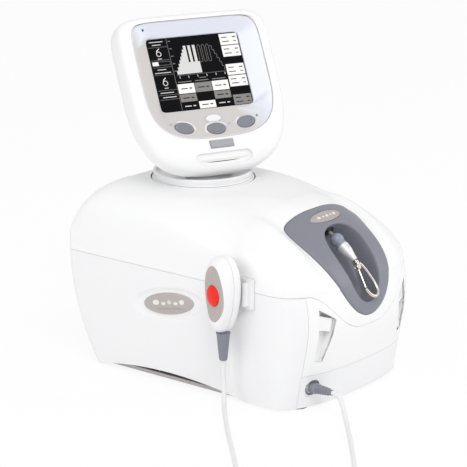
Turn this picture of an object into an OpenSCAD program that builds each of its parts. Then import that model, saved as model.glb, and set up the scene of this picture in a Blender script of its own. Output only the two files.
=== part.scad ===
// Motorised spinal traction unit: a desk-top pull unit with a swivelling touch-screen head,
// a rope outlet with a snap hook, and a corded patient stop switch.
// Front (rope outlet) is -Y, top is +Z, X = 0 is the plane of symmetry of the body.

/* [Body] */
// Half width of the body at the floor
body_half_w = 108.7; // [100:0.1:120]
// Extra half width at the side seam
body_flare = 2.6; // [0:0.1:6]
// Back wall position at the floor
back_y = 148; // [140:1:160]
// How far the back wall bulges out by the side seam
back_bulge = 39; // [20:1:45]
// Front nose position at the floor
nose_y = -145; // [-155:1:-140]
// Height of the side seam
seam_z = 131; // [125:1:140]
// Height of the crown above the side seam
crown_h = 83; // [75:1:90]
// Wall thickness of the plastic shells
wall = 3; // [2.5:0.1:4]
// Gap at each visible seam
seam_gap = 0.4; // [0.3:0.05:0.8]

/* [Head] */
// Height of the tilt pin above the floor
tilt_z = 255; // [250:1:262]
// How far the screen leans back
head_lean = 30; // [25:1:35]
// How far the screen is turned to the left
head_turn = 24; // [0:1:60]
// Half width of the head
head_half_w = 94; // [88:1:100]
// Width of the screen window
window_w = 117; // [110:1:122]
// Height of the screen window
window_h = 88; // [82:1:92]
// Radius of the neck collar
collar_r = 57; // [50:1:60]

/* [Base] */
// Hole spacing across the mounting pattern
mount_x = 120; // [80:5:140]
// Hole spacing along the mounting pattern
mount_y = 160; // [100:5:180]
// Radius of each mounting hole
mount_hole_r = 2.6; // [2:0.1:3.2]
// Radius of each rubber foot
foot_r = 11; // [8:0.5:14]

/* [Rope] */
// Rope radius
rope_r = 2; // [1.5:0.1:2.5]
// Slope of the rope below level, in degrees
rope_slope = 36; // [30:1:40]
// Radius of the rope pulley's groove
pulley_r = 14; // [12:0.5:16]
// Radius of the drum core
drum_r = 24; // [18:1:28]
// Radius of the drum shaft
shaft_r = 5; // [4:0.5:6]

/* [Patient switch] */
// Radius of the red button
button_r = 11.5; // [9:0.5:13]
// Cord diameter
cord_d = 5.5; // [4.5:0.1:6.5]

/* [Hidden] */

eps = 0.01;
cord_r = cord_d / 2;
fit = 0.3;         // clearance between parts that only sit near each other
run_fit = 0.05;    // radial clearance of a pin or shaft in its bore

// ---------- body form ----------
knee_y = -107;     // where the straight sides turn into the nose, at the floor
knee_rise = 6;
back_corner_r = 9;
back_bow = 0.8;    // the back wall bulges this much in plan
spine_front_y = -60;
spine_back_y = 120;
rim_z = 2;         // lower edge of the housing, just above the floor
nose_power = 3;
groove_depth = 8.5;
groove_x = 57;
groove_out = 17;

function level(z) = min(z, seam_z) / seam_z;
function half_w(z, d) = body_half_w + body_flare * level(z) - d;
function back_at(z, d) = back_y + back_bulge * (1 - (1 - level(z)) * (1 - level(z))) - d;
function knee_at(z) = knee_y + knee_rise * level(z);
function nose_at(z, d) = nose_y - 0.23 * z + 0.0052 * pow(max(0, z - 72), 2) + d;
function power_at(z) = 2.5 + (nose_power - 2.5) * level(z);

// Plan outline at a height: nose centre, right side, back, left side.
nose_n = 9;
side_n = 6;
corner_n = 3;
back_n = 3;
function nose_pt(z, d, a) = [half_w(z, d) * pow(cos(a), 2 / power_at(z)),
    knee_at(z) - (knee_at(z) - nose_at(z, d)) * pow(sin(a), 2 / power_at(z))];
function half_outline(z, d) = let (w = half_w(z, d), yb = back_at(z, d), yk = knee_at(z), r = back_corner_r)
    concat(
        [[0, nose_at(z, d)]],
        [for (i = [1:nose_n]) nose_pt(z, d, 90 - 90 * i / nose_n)],
        [for (i = [1:side_n]) [w, yk + (yb - r - yk) * i / side_n]],
        [for (i = [1:corner_n]) [w - r + r * cos(90 * i / corner_n), yb - r + r * sin(90 * i / corner_n)]],
        [for (i = [1:back_n]) let (u = 1 - i / back_n) [(w - r) * u, yb + back_bow * (1 - u * u)]]);
function outline(z, d) = let (h = half_outline(z, d), n = len(h))
    concat(h, [for (i = [n - 2:-1:1]) [-h[i][0], h[i][1]]]);

// Crown height above the seam along the middle.
function spine_h(y, d) =
    y < spine_front_y
        ? (crown_h - 4 - d) * pow(1 - pow(min(1, (spine_front_y - y) / (spine_front_y - nose_at(seam_z,
            d))), 1.6), 1 / 1.3)
        : y > spine_back_y
            ? (crown_h - d) * pow(1 - pow(min(1, (y - spine_back_y) / (back_at(seam_z, d)
                - spine_back_y)), 2.6), 1 / 2.6)
            : crown_h - d - 4 * pow((spine_back_y - y) / (spine_back_y - spine_front_y), 2);
function ease(t) = let (u = min(1, max(0, t))) u * u * (3 - 2 * u);
function crown_power(y) = 2.7 + 2.1 * ease((y + 60) / 110);
function width_at(y, d) = let (yk = knee_at(seam_z), u = min(1, max(0, (yk - y) / (yk - nose_at(seam_z, d)))))
    max(0.5, half_w(seam_z, d) * pow(max(0, 1 - pow(u, nose_power)), 1 / nose_power));
function groove(x, y) = let (a = abs(x), t = abs(y + 100) / 80, o = (a - groove_x) / groove_out)
    (t < 1 ? groove_depth * pow(cos(90 * t), 2) : 0)
    * (o < 0 ? pow(a / groove_x, 2.2) : o < 1 ? (1 - o) * (1 - o) * (1 + 2 * o) : 0);
function top_at(x, y, d) = let (a = min(1, abs(x) / width_at(y, d)), q = crown_power(y))
    seam_z + spine_h(y, d) * pow(max(0, 1 - pow(a, q)), 1 / q) - groove(x, y) * min(1, 4 * (1 - a));

// Rings of one skin: straight walls to the seam, then the crown closing on the spine line.
wall_levels = [0, 0.3, 0.55, 0.8, 1];
crown_steps = [0.012, 0.045, 0.1, 0.18, 0.3, 0.5, 0.75, 0.97];
function crown_pt(p, r, d) = let (s = [0, min(spine_back_y, max(spine_front_y, p[1]))], q = p + (s - p) * r)
    [q[0], q[1], top_at(q[0], q[1], d)];
function skin_rings(d, z0) = concat(
    [for (k = wall_levels) let (z = z0 + (seam_z - z0) * k) [for (p = outline(z, d)) [p[0], p[1], z]]],
    [for (r = crown_steps) [for (p = outline(seam_z, d)) crown_pt(p, r, d)]]);

// Faces between successive rings of n points, in points numbered from first.
function band_faces(n, rows, first) = [for (j = [0:rows - 2], i = [0:n - 1], s = [0, 1])
    let (a = first + j * n + i, b = first + j * n + (i + 1) % n)
    s == 0 ? [a, b, b + n] : [a, b + n, a + n]];
function zip_faces(n, first) = [for (i = [0:n / 2 - 1], s = [0, 1])
    let (a = first + i, b = first + i + 1, c = first + (n - i) % n, e = first + n - i - 1)
    if (!(s == 0 && i == 0) && !(s == 1 && b == e)) s == 0 ? [a, b, c] : [b, e, c]];
function flip(faces) = [for (f = faces) [f[2], f[1], f[0]]];

// The hollow body skin from z0 up, as one closed form.
module body_skin(z0) {
    outer = skin_rings(0, z0);
    inner = skin_rings(wall, z0);
    n = len(outer[0]);
    rows = len(outer);
    pts = concat([for (r = outer) each r], [for (r = inner) each r]);
    m = rows * n;
    rim = [for (i = [0:n - 1], s = [0, 1]) let (j = (i + 1) % n) s == 0 ? [i, m + i, m + j] : [i, m + j, j]];
    polyhedron(pts, flip(concat(
        band_faces(n, rows, 0), zip_faces(n, m - n),
        flip(band_faces(n, rows, m)), flip(zip_faces(n, 2 * m - n)), rim)));
}

// The body's filled form, set in by d.
module body_solid(z0, d) {
    rings = skin_rings(d, z0);
    n = len(rings[0]);
    rows = len(rings);
    polyhedron([for (r = rings) each r], flip(concat(
        band_faces(n, rows, 0), zip_faces(n, (rows - 1) * n),
        [for (i = [1:n - 2]) [0, i + 1, i]])));
}

// ---------- general forms ----------
// A closed form through rings of equal point count, capped at both ends.
module capped(rings) {
    n = len(rings[0]);
    k = len(rings);
    polyhedron([for (r = rings) each r], flip(concat(
        band_faces(n, k, 0),
        [for (i = [1:n - 2]) [0, i + 1, i]],
        [for (i = [1:n - 2]) [(k - 1) * n, (k - 1) * n + i, (k - 1) * n + i + 1]])));
}
// A ring-shaped form: the last ring joins the first.
module looped(rings) {
    n = len(rings[0]);
    k = len(rings);
    polyhedron([for (r = rings) each r], flip([for (j = [0:k - 1], i = [0:n - 1], s = [0, 1])
        let (a = j * n + i, b = j * n + (i + 1) % n, c = ((j + 1) % k) * n + (i + 1) % n, e = ((j + 1)
            % k) * n + i)
        s == 0 ? [a, b, c] : [a, c, e]]));
}
function ellipse(a, b, n = 32) = [for (i = [0:n - 1]) [a * cos(360 * i / n), b * sin(360 * i / n)]];
function signed_pow(v, p) = sign(v) * pow(abs(v), p);

// ---------- seams of the front ----------
split_x = 91;          // half width of the front pieces
band_top_z = 40;       // top of the front band
dip = 47;              // how far the side seam dips under the rope bezel
dip_n = 12;
side_cut_y = -60;      // the front pieces lie in front of this
function dip_z(x) = seam_z - dip * pow(max(0, 1 - pow(abs(x) / split_x, 3)), 2.5);
function dip_line(g) = [for (i = [-dip_n:dip_n]) let (x = split_x * i / dip_n) [x, dip_z(x) + g]];
reach = 260;
// Extrudes a front-view outline (x, z) from y0 to y1.
module front_prism(pts, y0, y1) {
    translate([0, y1, 0]) rotate([90, 0, 0]) linear_extrude(y1 - y0) polygon(pts);
}
module below_seam() {
    front_prism(concat([[-reach, seam_z + seam_gap / 2]], dip_line(seam_gap / 2),
        [[reach, seam_z + seam_gap / 2], [reach, -9], [-reach, -9]]), -reach, side_cut_y);
    translate([-reach, side_cut_y - eps, -9]) cube([2 * reach, reach + 100, seam_z + seam_gap / 2 + 9]);
}
module upper_shell() {
    color("white") difference() {
        body_skin(rim_z);
        below_seam();
        bezel_prism(fit);
        translate([0, neck_y, seam_z]) cylinder(r = collar_r + 2 + fit, h = reach, $fn = 64);
        handle_hole(fit);
    }
}
module lower_housing() {
    front = [[-split_x, -9], [split_x, -9], [split_x, seam_z + 9], [-split_x, seam_z + 9]];
    color("white") union() {
        difference() {
            body_skin(rim_z);
            translate([-reach, -reach, seam_z - seam_gap / 2]) cube([2 * reach, 2 * reach, reach]);
            front_prism(front, -reach, knee_y + 5);
            for (s = [-1, 1]) side_dish(s);
            for (s = [-1, 1]) lift_scallop(s);
            inlet_hole(fit);
        }
        difference() {
            translate([0, 0, plate_top_z]) linear_extrude(ledge_t) difference() {
                polygon(outline(plate_top_z, wall - 0.5));
                polygon(outline(plate_top_z, wall + ledge_w));
                translate([-reach, -reach]) square([2 * reach, reach + knee_y + 5]);
            }
            at_screws() cylinder(r = screw_r + 0.1, h = reach, center = true, $fn = 24);
            for (s = [-1, 1]) lift_scallop(s);
        }
    }
}
module front_panel() {
    edge = split_x - seam_gap;
    low = band_top_z + seam_gap / 2;
    top = [for (p = dip_line(-seam_gap / 2)) [p[0] * edge / split_x, p[1]]];
    color("white") difference() {
        union() {
            intersection() {
                body_skin(rim_z);
                front_prism(concat(top, [[edge, low], [-edge, low]]), -reach, knee_y + 5);
            }
            intersection() {
                body_solid(rim_z, 0.6);
                for (s = [-1, 1]) front_prism(sided(widen(latch_pts, 2), s), -reach, latch_floor_y + 2);
            }
        }
        bezel_prism(fit);
        for (s = [-1, 1]) front_prism(sided(latch_pts, s), -reach, latch_floor_y);
        for (s = [-1, 1]) front_prism(sided(widen(tab_pts, -2.65), s), -reach, 0);
    }
}
module front_band() {
    edge = split_x - seam_gap;
    h = band_top_z - seam_gap / 2;
    color("white") difference() {
        union() {
            intersection() {
                body_skin(rim_z);
                front_prism([[-edge, -9], [edge, -9], [edge, h], [-edge, h]], -reach, knee_y + 5);
            }
            translate([socket_x, socket_y + 4, socket_z]) rotate([90, 0, 0]) cylinder(r = socket_boss_r,
                h = 5.5, $fn = 40);
        }
        translate([socket_x, socket_y + 9, socket_z]) rotate([90, 0, 0]) cylinder(r = jack_r + fit, h =
            40, $fn = 40);
        translate([socket_x, socket_y - 0.5, socket_z]) rotate([90, 0, 0]) cylinder(r = socket_r, h = 20,
            $fn = 40);
    }
}
// Shallow arched undercut that gives the fingers a hold along each side.
scallop_y = 30;
scallop_len = 228;
scallop_h = 12;
scallop_in = 6;
module lift_scallop(s) {
    r = (pow(scallop_len / 2, 2) + scallop_h * scallop_h) / (2 * scallop_h);
    translate([s * (half_w(0, 0) - scallop_in), scallop_y, scallop_h - r]) rotate([0, 90 * s, 0])
        cylinder(r = r, h = 40, $fn = 160);
}

// ---------- base ----------
plate_t = 4;
plate_top_z = rim_z + plate_t;
ledge_t = 4;
ledge_w = 12;
screw_r = 1.9;
screw_head_r = 3.5;
foot_x = 78;
foot_y = 124;
foot_t = rim_z;
plug_r = 4;
mast_r = 20;
mount_boss_r = 7;   // the bolt bosses stand level with the feet
screw_n = 4;
screw_pitch = 64;
module at_screws() {
    for (s = [-1, 1], i = [0:screw_n - 1])
        translate([s * (half_w(0, 0) - wall - ledge_w / 2 - 2), i * screw_pitch - 70, 0]) children();
}
module at_feet() {
    for (sx = [-1, 1], sy = [-1, 1]) translate([sx * foot_x, sy * foot_y, 0]) children();
}
module at_mount_holes() {
    for (sx = [-1, 1], sy = [-1, 1]) translate([sx * mount_x / 2, sy * mount_y / 2, 0]) children();
}
module base_plate() {
    color("gainsboro") difference() {
        union() {
            translate([0, 0, rim_z]) linear_extrude(plate_t) polygon(outline(rim_z, wall + fit));
            at_mount_holes() cylinder(r = mount_boss_r, h = rim_z + 1, $fn = 48);
        }
        at_mount_holes() translate([0, 0, -1]) cylinder(r = mount_hole_r, h = 20, $fn = 40);
        at_screws() {
            translate([0, 0, -1]) cylinder(r = screw_r + 0.1, h = 20, $fn = 24);
            translate([0, 0, -1]) cylinder(r = screw_head_r + 0.3, h = rim_z + 1 + screw_sink, $fn = 24);
        }
        at_feet() translate([0, 0, -1]) cylinder(r = plug_r, h = 10, $fn = 32);
        for (s = [-1, 1]) lift_scallop(s);
    }
}
screw_sink = 2.4;
screw_head_t = 2;
screw_top_z = 12;
module base_screws() {
    color("silver") at_screws() difference() {
        union() {
            translate([0, 0, rim_z + screw_sink - screw_head_t]) cylinder(r = screw_head_r, h =
                screw_head_t, $fn = 24);
            translate([0, 0, rim_z + screw_sink]) cylinder(r = screw_r, h =
                screw_top_z - rim_z - screw_sink, $fn = 24);
        }
        for (a = [0, 90]) translate([0, 0, rim_z + screw_sink - screw_head_t]) rotate([0, 0, a])
            cube([4, 0.9, 2], center = true);
    }
}
module rubber_feet() {
    color("dimgray") at_feet() union() {
        difference() {
            cylinder(r = foot_r, h = foot_t, $fn = 48);
            translate([0, 0, -1]) cylinder(r = foot_r - 4, h = 1.6, $fn = 48);
        }
        translate([0, 0, foot_t]) cylinder(r = plug_r, h = plate_t, $fn = 32);
        translate([0, 0, plate_top_z]) cylinder(r1 = plug_r + 1, r2 = plug_r - 1, h = 3, $fn = 32);
    }
}

// ---------- rope bezel ----------
// The bezel lies on the sloping front; its own frame has u to the right, v up the slope, n outward.
bez_y = -164;
bez_z = 95;
bez_slope = 53.9;       // of the line from the bezel's tip to its top
bez_len = 132.4;
bez_proud = 2;
bez_deep = 5;
bez_n = 40;
function bez_pt(u, v, h) = [u, bez_y + v * cos(bez_slope) - h * sin(bez_slope),
    bez_z + v * sin(bez_slope) + h * cos(bez_slope)];
// Half the outline, from the tip to the top, as (half width, height up the slope).
bez_edge = [[0, 0], [12, 1.8], [26, 9], [38.5, 23], [48, 43], [53.5, 64], [57, 84], [60, 103], [59.5, 115],
    [54, 124], [42, 129], [22, 132]];
cav_edge = [[0, 12.5], [8, 14], [16, 19.5], [22, 29], [26, 42], [28.5, 56], [29.5, 70], [29, 82], [25.5, 93],
    [19, 100], [10, 104]];
function mirror_half(h, top) = concat(h, [top], [for (i = [len(h) - 1:-1:1]) [-h[i][0], h[i][1]]]);
function resample(loop, n) = let (m = len(loop),
    seg = [for (i = [0:m - 1]) norm(loop[(i + 1) % m] - loop[i])],
    cum = [for (i = 0, s = 0; i <= m; s = s + (i < m ? seg[i] : 0), i = i + 1) s])
    [for (k = [0:n - 1]) let (t = cum[m] * k / n, i = max([for (j = [0:m - 1]) cum[j] <= t ? j : 0]),
        f = (t - cum[i]) / seg[i]) loop[i] * (1 - f) + loop[(i + 1) % m] * f];
bez_loop = resample(mirror_half(bez_edge, [0, bez_len]), bez_n);
cav_loop = resample(mirror_half(cav_edge, [0, 105]), bez_n);
// Height of the body's own surface above the bezel's base plane.
function in_body(p) = p[2] > seam_z ? p[2] < top_at(p[0], p[1], 0)
    : let (yk = knee_at(p[2]), u = max(0, (yk - p[1]) / (yk - nose_at(p[2], 0))))
        pow(abs(p[0]) / half_w(p[2], 0), power_at(p[2])) + pow(u, power_at(p[2])) < 1;
function search_h(u, v, lo, hi, k) = k == 0 ? (lo + hi) / 2
    : let (m = (lo + hi) / 2) in_body(bez_pt(u, v, m)) ? search_h(u, v, m, hi, k - 1) : search_h(u, v,
        lo, m, k - 1);
function face_h(u, v) = search_h(u, v, -25, 40, 11);
function bez_ring(loop, k, h) = [for (p = loop) let (c = [0, 62], q = c + (p - c) * k) bez_pt(q[0], q[1],
    face_h(q[0], q[1]) + h)];
function cav_ring(k, depth) = [for (p = cav_loop) let (c = [0, 66], q = c + (p - c) * k)
    bez_pt(q[0], q[1], cav_rim_h(q[1]) - depth)];
function cav_rim_h(v) = 15.5 - 13 * pow((v - 58) / 70, 2);
cav_depth = 27;
module rope_bezel() {
    color("slategray") difference() {
        capped([
            cav_ring(0.35, cav_depth), cav_ring(0.7, cav_depth - 1), cav_ring(0.86, cav_depth - 5),
                cav_ring(0.95, 10),
            bez_ring(cav_loop, 1.01, bez_proud - 1.5), bez_ring(cav_loop, 1.05, bez_proud),
            bez_ring(bez_loop, 0.97, bez_proud), bez_ring(bez_loop, 1, bez_proud - 1.2),
                bez_ring(bez_loop, 1, -bez_deep),
            bez_ring(bez_loop, 0.93, -bez_deep),
            bez_ring(cav_loop, 1.14, -bez_deep - 1), cav_ring(1.05, 12), cav_ring(0.96, cav_depth - 3),
                cav_ring(0.8, cav_depth + 2),
            cav_ring(0.4, cav_depth + wall)]);
        on_rope() translate([0, 0, -60]) cylinder(r = fairlead_r, h = 70, $fn = 40);
        capped([badge_ring(0.4, badge_floor), badge_ring(0.4, 9)]);
    }
}
badge_v = 118;
badge_a = 26;
badge_b = 7;
badge_floor = 0.4;
badge_n = 28;
function badge_ring(g, h) = [for (p = ellipse(badge_a + g, badge_b + g, badge_n))
    bez_pt(p[0], badge_v + p[1], face_h(p[0], badge_v + p[1]) + h)];
module bezel_badge() {
    color("rosybrown") capped([badge_ring(0, badge_floor + 0.1), badge_ring(0, badge_floor + 1.4),
        badge_ring(-0.6, bez_proud + 0.6)]);
}
module bezel_prism(g) {
    translate(bez_pt(0, 0, 0)) rotate([bez_slope, 0, 0]) translate([0, 0, -40])
        linear_extrude(100) polygon([for (p = bez_loop) let (q = p - [0, 62]) p + q / norm(q) * g]);
}

// ---------- rope line ----------
rope_out_y = -106;     // where the rope's line crosses the cavity's back wall
rope_out_z = 179;
fairlead_r = 6;
module on_rope() {
    translate([0, rope_out_y, rope_out_z]) rotate([90 + rope_slope, 0, 0]) children();
}
rope_back = 34;        // straight run from the outlet back to the pulley
wrap_r = pulley_r + rope_r + 0.2;
pulley_y = rope_out_y + rope_back * cos(rope_slope) + wrap_r * sin(rope_slope);
pulley_z = rope_out_z + rope_back * sin(rope_slope) - wrap_r * cos(rope_slope);
run_y = pulley_y + wrap_r;
drum_y = run_y + drum_r + rope_r + 0.2;
drum_z = 72;
drum_w = 44;
module rope_fairlead() {
    color("silver") on_rope() translate([0, 0, -8]) difference() {
        cylinder(r = fairlead_r - run_fit, h = 9.5, $fn = 40);
        translate([0, 0, -1]) cylinder(r = rope_r + 0.6, h = 12, $fn = 32);
    }
}
ball_r = 8;
ball_at = 14;          // bumper centre along the rope from the outlet
ferrule_len = 22;
module pull_rope() {
    color("gray") on_rope() translate([0, 0, -rope_back]) cylinder(r = rope_r, h =
        rope_back + ball_at + 4, $fn = 24);
}
module rope_bumper() {
    color("gray") on_rope() translate([0, 0, ball_at]) difference() {
        rotate_extrude($fn = 40) difference() {
            union() {
                circle(r = ball_r, $fn = 40);
                translate([0, 3]) square([ball_r - 1.5, 6]);
            }
            translate([-20, -20]) square([20, 40]);
        }
        translate([0, 0, -10]) cylinder(r = rope_r, h = 14, $fn = 24);
        translate([0, 0, 3.9]) cylinder(r = rope_r + 0.6, h = 20, $fn = 24);
    }
}
ferrule_at = ball_at + 9;
module hook_ferrule() {
    color("silver") on_rope() translate([0, 0, ferrule_at]) difference() {
        rotate_extrude($fn = 40) polygon([[0, 0], [6.5, 0], [7, 1.5], [6.4, 9], [4.2, 17], [3.2,
            ferrule_len], [0, ferrule_len]]);
        translate([0, 0, ferrule_len - 9]) cylinder(r = 1.6 + run_fit, h = 10, $fn = 24);
    }
}
// Snap hook: a bent round bar in one plane, hanging along the cavity.
hook_drop = 52;        // slope of the hook below level, in degrees
hook_len = 50;
bar_r = 1.9;
hook_y = rope_out_y - (ferrule_at + ferrule_len) * cos(rope_slope);
hook_z = rope_out_z - (ferrule_at + ferrule_len) * sin(rope_slope);
module on_hook() {
    translate([0, hook_y, hook_z]) rotate([90 + hook_drop, 0, 0]) children();
}
hook_path = [[5.2, 7.5], [7.6, 14], [9, 22], [10, 30], [9.6, 38], [6.4, 43.5], [0.6, 45.6], [-4.8, 43],
    [-7.6, 38], [-8.2, 34.5]];
eye_path = [[0.2, 4], [3, 5.2], [5.2, 7.5]];
gate_path = [[-8.2, 33.6], [-5, 20], [-2.3, 9.2]];
function bar_dir(path, i) = let (n = len(path), v = path[min(n - 1, i + 1)] - path[max(0, i - 1)])
    v / norm(v);
module bar(path, r) {
    capped([for (i = [0:len(path) - 1]) let (d = bar_dir(path, i))
        [for (k = [0:9]) [path[i][0] + r * cos(36 * k) * d[1], r * sin(36 * k),
            path[i][1] - r * cos(36 * k) * d[0]]]]);
}
module snap_hook() {
    color("silver") union() {
        on_hook() difference() {
            union() {
                bar(concat([[0, 4]], hook_path), bar_r);
                translate([0, 0, 1.3]) cylinder(r = 3.1, h = 3.7, $fn = 24);
                translate([-2.3, 2.6, 8.6]) rotate([90, 0, 0]) cylinder(r = 3.2, h = 5.2, $fn = 24);
                translate([-2.6, -2.6, 3]) cube([4.6, 5.2, 5]);
            }
            translate([-2.3, 0, 9]) cube([7, 2.6, 7.4], center = true);
        }
        on_hook() translate([-2.3, 3, 8.6]) rotate([90, 0, 0]) cylinder(r = 0.8, h = 6, $fn = 20);
        on_rope() translate([0, 0, ferrule_at + ferrule_len - 8]) cylinder(r = 1.6, h = 10.4, $fn = 24);
    }
}
module hook_gate() {
    color("gold") on_hook() difference() {
        union() {
            bar([[-7.4, 33.2], [-2.6, 10]], 1.1);
            translate([-2.3, 1.1, 8.6]) rotate([90, 0, 0]) cylinder(r = 2.4, h = 2.2, $fn = 24);
        }
        translate([-2.3, 3, 8.6]) rotate([90, 0, 0]) cylinder(r = 0.8 + run_fit, h = 6, $fn = 20);
    }
}

// ---------- drive ----------
cheek_x = drum_w / 2 + 5;
cheek_t = 4;
bearing_r = 9;
module chassis() {
    color("lightsteelblue") difference() {
        union() {
            for (s = [-1, 1]) translate([s * (cheek_x + cheek_t / 2) - cheek_t / 2, 0, 0]) rotate([90, 0, 90])
                linear_extrude(cheek_t) polygon([[pulley_y - 12, plate_top_z], [drum_y + 40,
                    plate_top_z], [drum_y + 40, drum_z + 20],
                    [pulley_y + 12, pulley_z + 8], [pulley_y - 12, pulley_z + 8], [pulley_y - 12,
                        drum_z + 30]]);
            for (s = [-1, 1]) translate([s > 0 ? cheek_x + cheek_t : -cheek_x - cheek_t - 14,
                pulley_y - 12, plate_top_z])
                cube([14, drum_y + 40 - pulley_y + 12, 3]);
            translate([-cheek_x - eps, drum_y + 34, plate_top_z]) cube([2 * cheek_x + 2 * eps, 4, 60]);
        }
        for (s = [-1, 1]) translate([s * cheek_x - 10, drum_y, drum_z]) rotate([0, 90, 0]) cylinder(r =
            shaft_r + run_fit, h = 20, $fn = 40);
        translate([-60, pulley_y, pulley_z]) rotate([0, 90, 0]) cylinder(r = 3, h = 120, $fn = 32);
    }
}
module pulley_axle() {
    l = 2 * (cheek_x + cheek_t) + 3;
    color("silver") translate([-l / 2, pulley_y, pulley_z]) rotate([0, 90, 0]) union() {
        cylinder(r = 3, h = l, $fn = 32);
        translate([0, 0, -2]) cylinder(r = 5, h = 2, $fn = 32);
    }
}
module rope_pulley() {
    h = 5;
    color("gainsboro") translate([0, pulley_y, pulley_z]) rotate([0, 90, 0]) difference() {
        rotate_extrude($fn = 48) polygon([[3 + run_fit, -cheek_x + 0.4], [6, -cheek_x + 0.4], [6, -h],
            [pulley_r + 4, -h], [pulley_r + 4, -h + 1.2],
            [pulley_r, -rope_r], [pulley_r, rope_r], [pulley_r + 4, h - 1.2], [pulley_r + 4, h], [6, h],
                [6, cheek_x - 0.4], [3 + run_fit, cheek_x - 0.4]]);
        for (a = [0:60:300]) rotate([0, 0, a]) translate([9.6, 0, -20]) cylinder(r = 1.8, h = 40, $fn = 20);
    }
}
flange_r = drum_r + 9;
module rope_drum() {
    color("darkgray") translate([0, drum_y, drum_z]) rotate([0, 90, 0]) difference() {
        rotate_extrude($fn = 64) polygon(concat([[shaft_r, -drum_w / 2], [flange_r, -drum_w / 2],
            [flange_r, -drum_w / 2 + 3]],
            [for (i = [0:8], k = [0, 1]) [drum_r - 1 + k, -drum_w / 2 + 3 + i * 4.2 + k * 2.1]],
            [[drum_r - 1, drum_w / 2 - 3], [flange_r, drum_w / 2 - 3], [flange_r, drum_w / 2], [shaft_r,
                drum_w / 2]]));
        for (a = [0:72:288]) rotate([0, 0, a]) translate([15, 0, -30]) cylinder(r = 3.5, h = 60, $fn = 24);
    }
}
module drum_shaft() {
    color("silver") translate([-cheek_x - cheek_t - 1, drum_y, drum_z]) rotate([0, 90, 0])
        cylinder(r = shaft_r, h = 2 * cheek_x + cheek_t + 2 + 16, $fn = 40);
}
motor_r = 17;
module gear_motor() {
    x0 = cheek_x + cheek_t;
    color("dimgray") translate([x0, drum_y, drum_z]) rotate([0, 90, 0]) difference() {
        union() {
            translate([-22, -22, 0]) cube([44, 44, 24]);
            translate([0, 0, 24]) cylinder(r = motor_r, h = 34, $fn = 48);
            translate([0, 0, 58]) cylinder(r = 6, h = 3, $fn = 32);
            translate([16, -16, 0]) cube([drum_z - plate_top_z - 3 - 16, 32, 6]);
        }
        translate([0, 0, -1]) cylinder(r = shaft_r + run_fit, h = 22, $fn = 40);
        for (a = [45:90:315]) rotate([0, 0, a]) translate([26, 0, -1]) cylinder(r = 1.6, h = 40, $fn = 20);
    }
}
module rope_inner_run() {
    top = pulley_z;
    color("gray") union() {
        translate([0, run_y, drum_z]) cylinder(r = rope_r, h = top - drum_z, $fn = 24);
        translate([0, pulley_y, pulley_z]) rotate([90, 0, 90]) rotate_extrude(angle = 88 - rope_slope,
            $fn = 64)
            translate([wrap_r, 0]) circle(r = rope_r, $fn = 24);
    }
}

// ---------- power and control ----------
module power_supply() {
    color("silver") translate([-92, -64, plate_top_z]) difference() {
        cube([44, 100, 42]);
        for (i = [0:9], j = [0:2]) translate([-1, 8 + i * 9, 12 + j * 9]) rotate([0, 90, 0]) cylinder(r =
            2.2, h = 3, $fn = 20);
        translate([2, 2, 30]) cube([40, 14, 20]);
    }
}
board_x = 48;
board_y = 4;
board_w = 42;
board_l = 66;
module control_board() {
    color("seagreen") translate([board_x, board_y, plate_top_z]) union() {
        for (x = [4, board_w - 4], y = [4, board_l - 4]) translate([x, y, 0]) cylinder(r = 2.5, h =
            8 + eps, $fn = 24);
        translate([0, 0, 8]) cube([board_w, board_l, 1.6]);
        translate([8, 10, 9.5]) cube([14, 14, 2]);
        translate([27, 22, 9.5]) cube([10, 22, 6]);
        for (y = [32, 44]) translate([12, y, 9.5]) cylinder(r = 4, h = 12, $fn = 32);
        translate([6, 54, 9.5]) cube([30, 8, 5]);
    }
}
inlet_x = 45;
inlet_z = 62;
inlet_w = 48;
inlet_h = 30;
inlet_lip = 3;
inlet_tilt = atan((back_at(inlet_z + 18, 0) - back_at(inlet_z - 18, 0)) / 36);
rocker_x = -14;
fuse_x = 18;
// The inlet's own frame: x across, y out of the sloping back wall.
module at_inlet() {
    translate([inlet_x, back_at(inlet_z, 0), inlet_z]) rotate([-inlet_tilt, 0, 0]) children();
}
module inlet_block(w, h, y0, y1) {
    translate([-w / 2, y0, -h / 2]) cube([w, y1 - y0, h]);
}
module inlet_hole(g) {
    at_inlet() inlet_block(inlet_w + 2 * g, inlet_h + 2 * g, -30, 30);
}
module mains_inlet() {
    color("black") at_inlet() union() {
        difference() {
            union() {
                inlet_block(inlet_w, inlet_h, -26, 1.2);
                inlet_block(inlet_w + 2 * inlet_lip, inlet_h + 2 * inlet_lip, 1.1, 3.2);
                translate([fuse_x, 3, 0]) inlet_block(8, 16, 0, 1.6);
            }
            translate([3, 0, 0]) inlet_block(14, 24, -14, 20);
            translate([rocker_x, 0, 0]) inlet_block(14.8, 22, -8, 20);
            translate([rocker_x - 12, -1, 0]) rotate([0, 90, 0]) cylinder(r = 1 + run_fit, h = 24, $fn = 20);
        }
        for (z = [-7, 0, 7]) translate([z == 0 ? 5 : 2, -14 - eps, z - 2]) cube([2, 11, 4]);
    }
}
module power_rocker() {
    profile = [[-9.6, 1], [-9.6, 5.4], [-4.5, 3.4], [0, 2.9], [4.5, 2.9], [9.6, 2.6], [9.6, -2], [2.5,
        -3.5], [-2.5, -3.5]];
    color("dimgray") at_inlet() translate([rocker_x, -1, 0]) rotate([0, 90, 0]) union() {
        translate([0, 0, -7]) linear_extrude(14) polygon(profile);
        translate([0, 0, -9]) cylinder(r = 1, h = 18, $fn = 20);
    }
}

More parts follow.
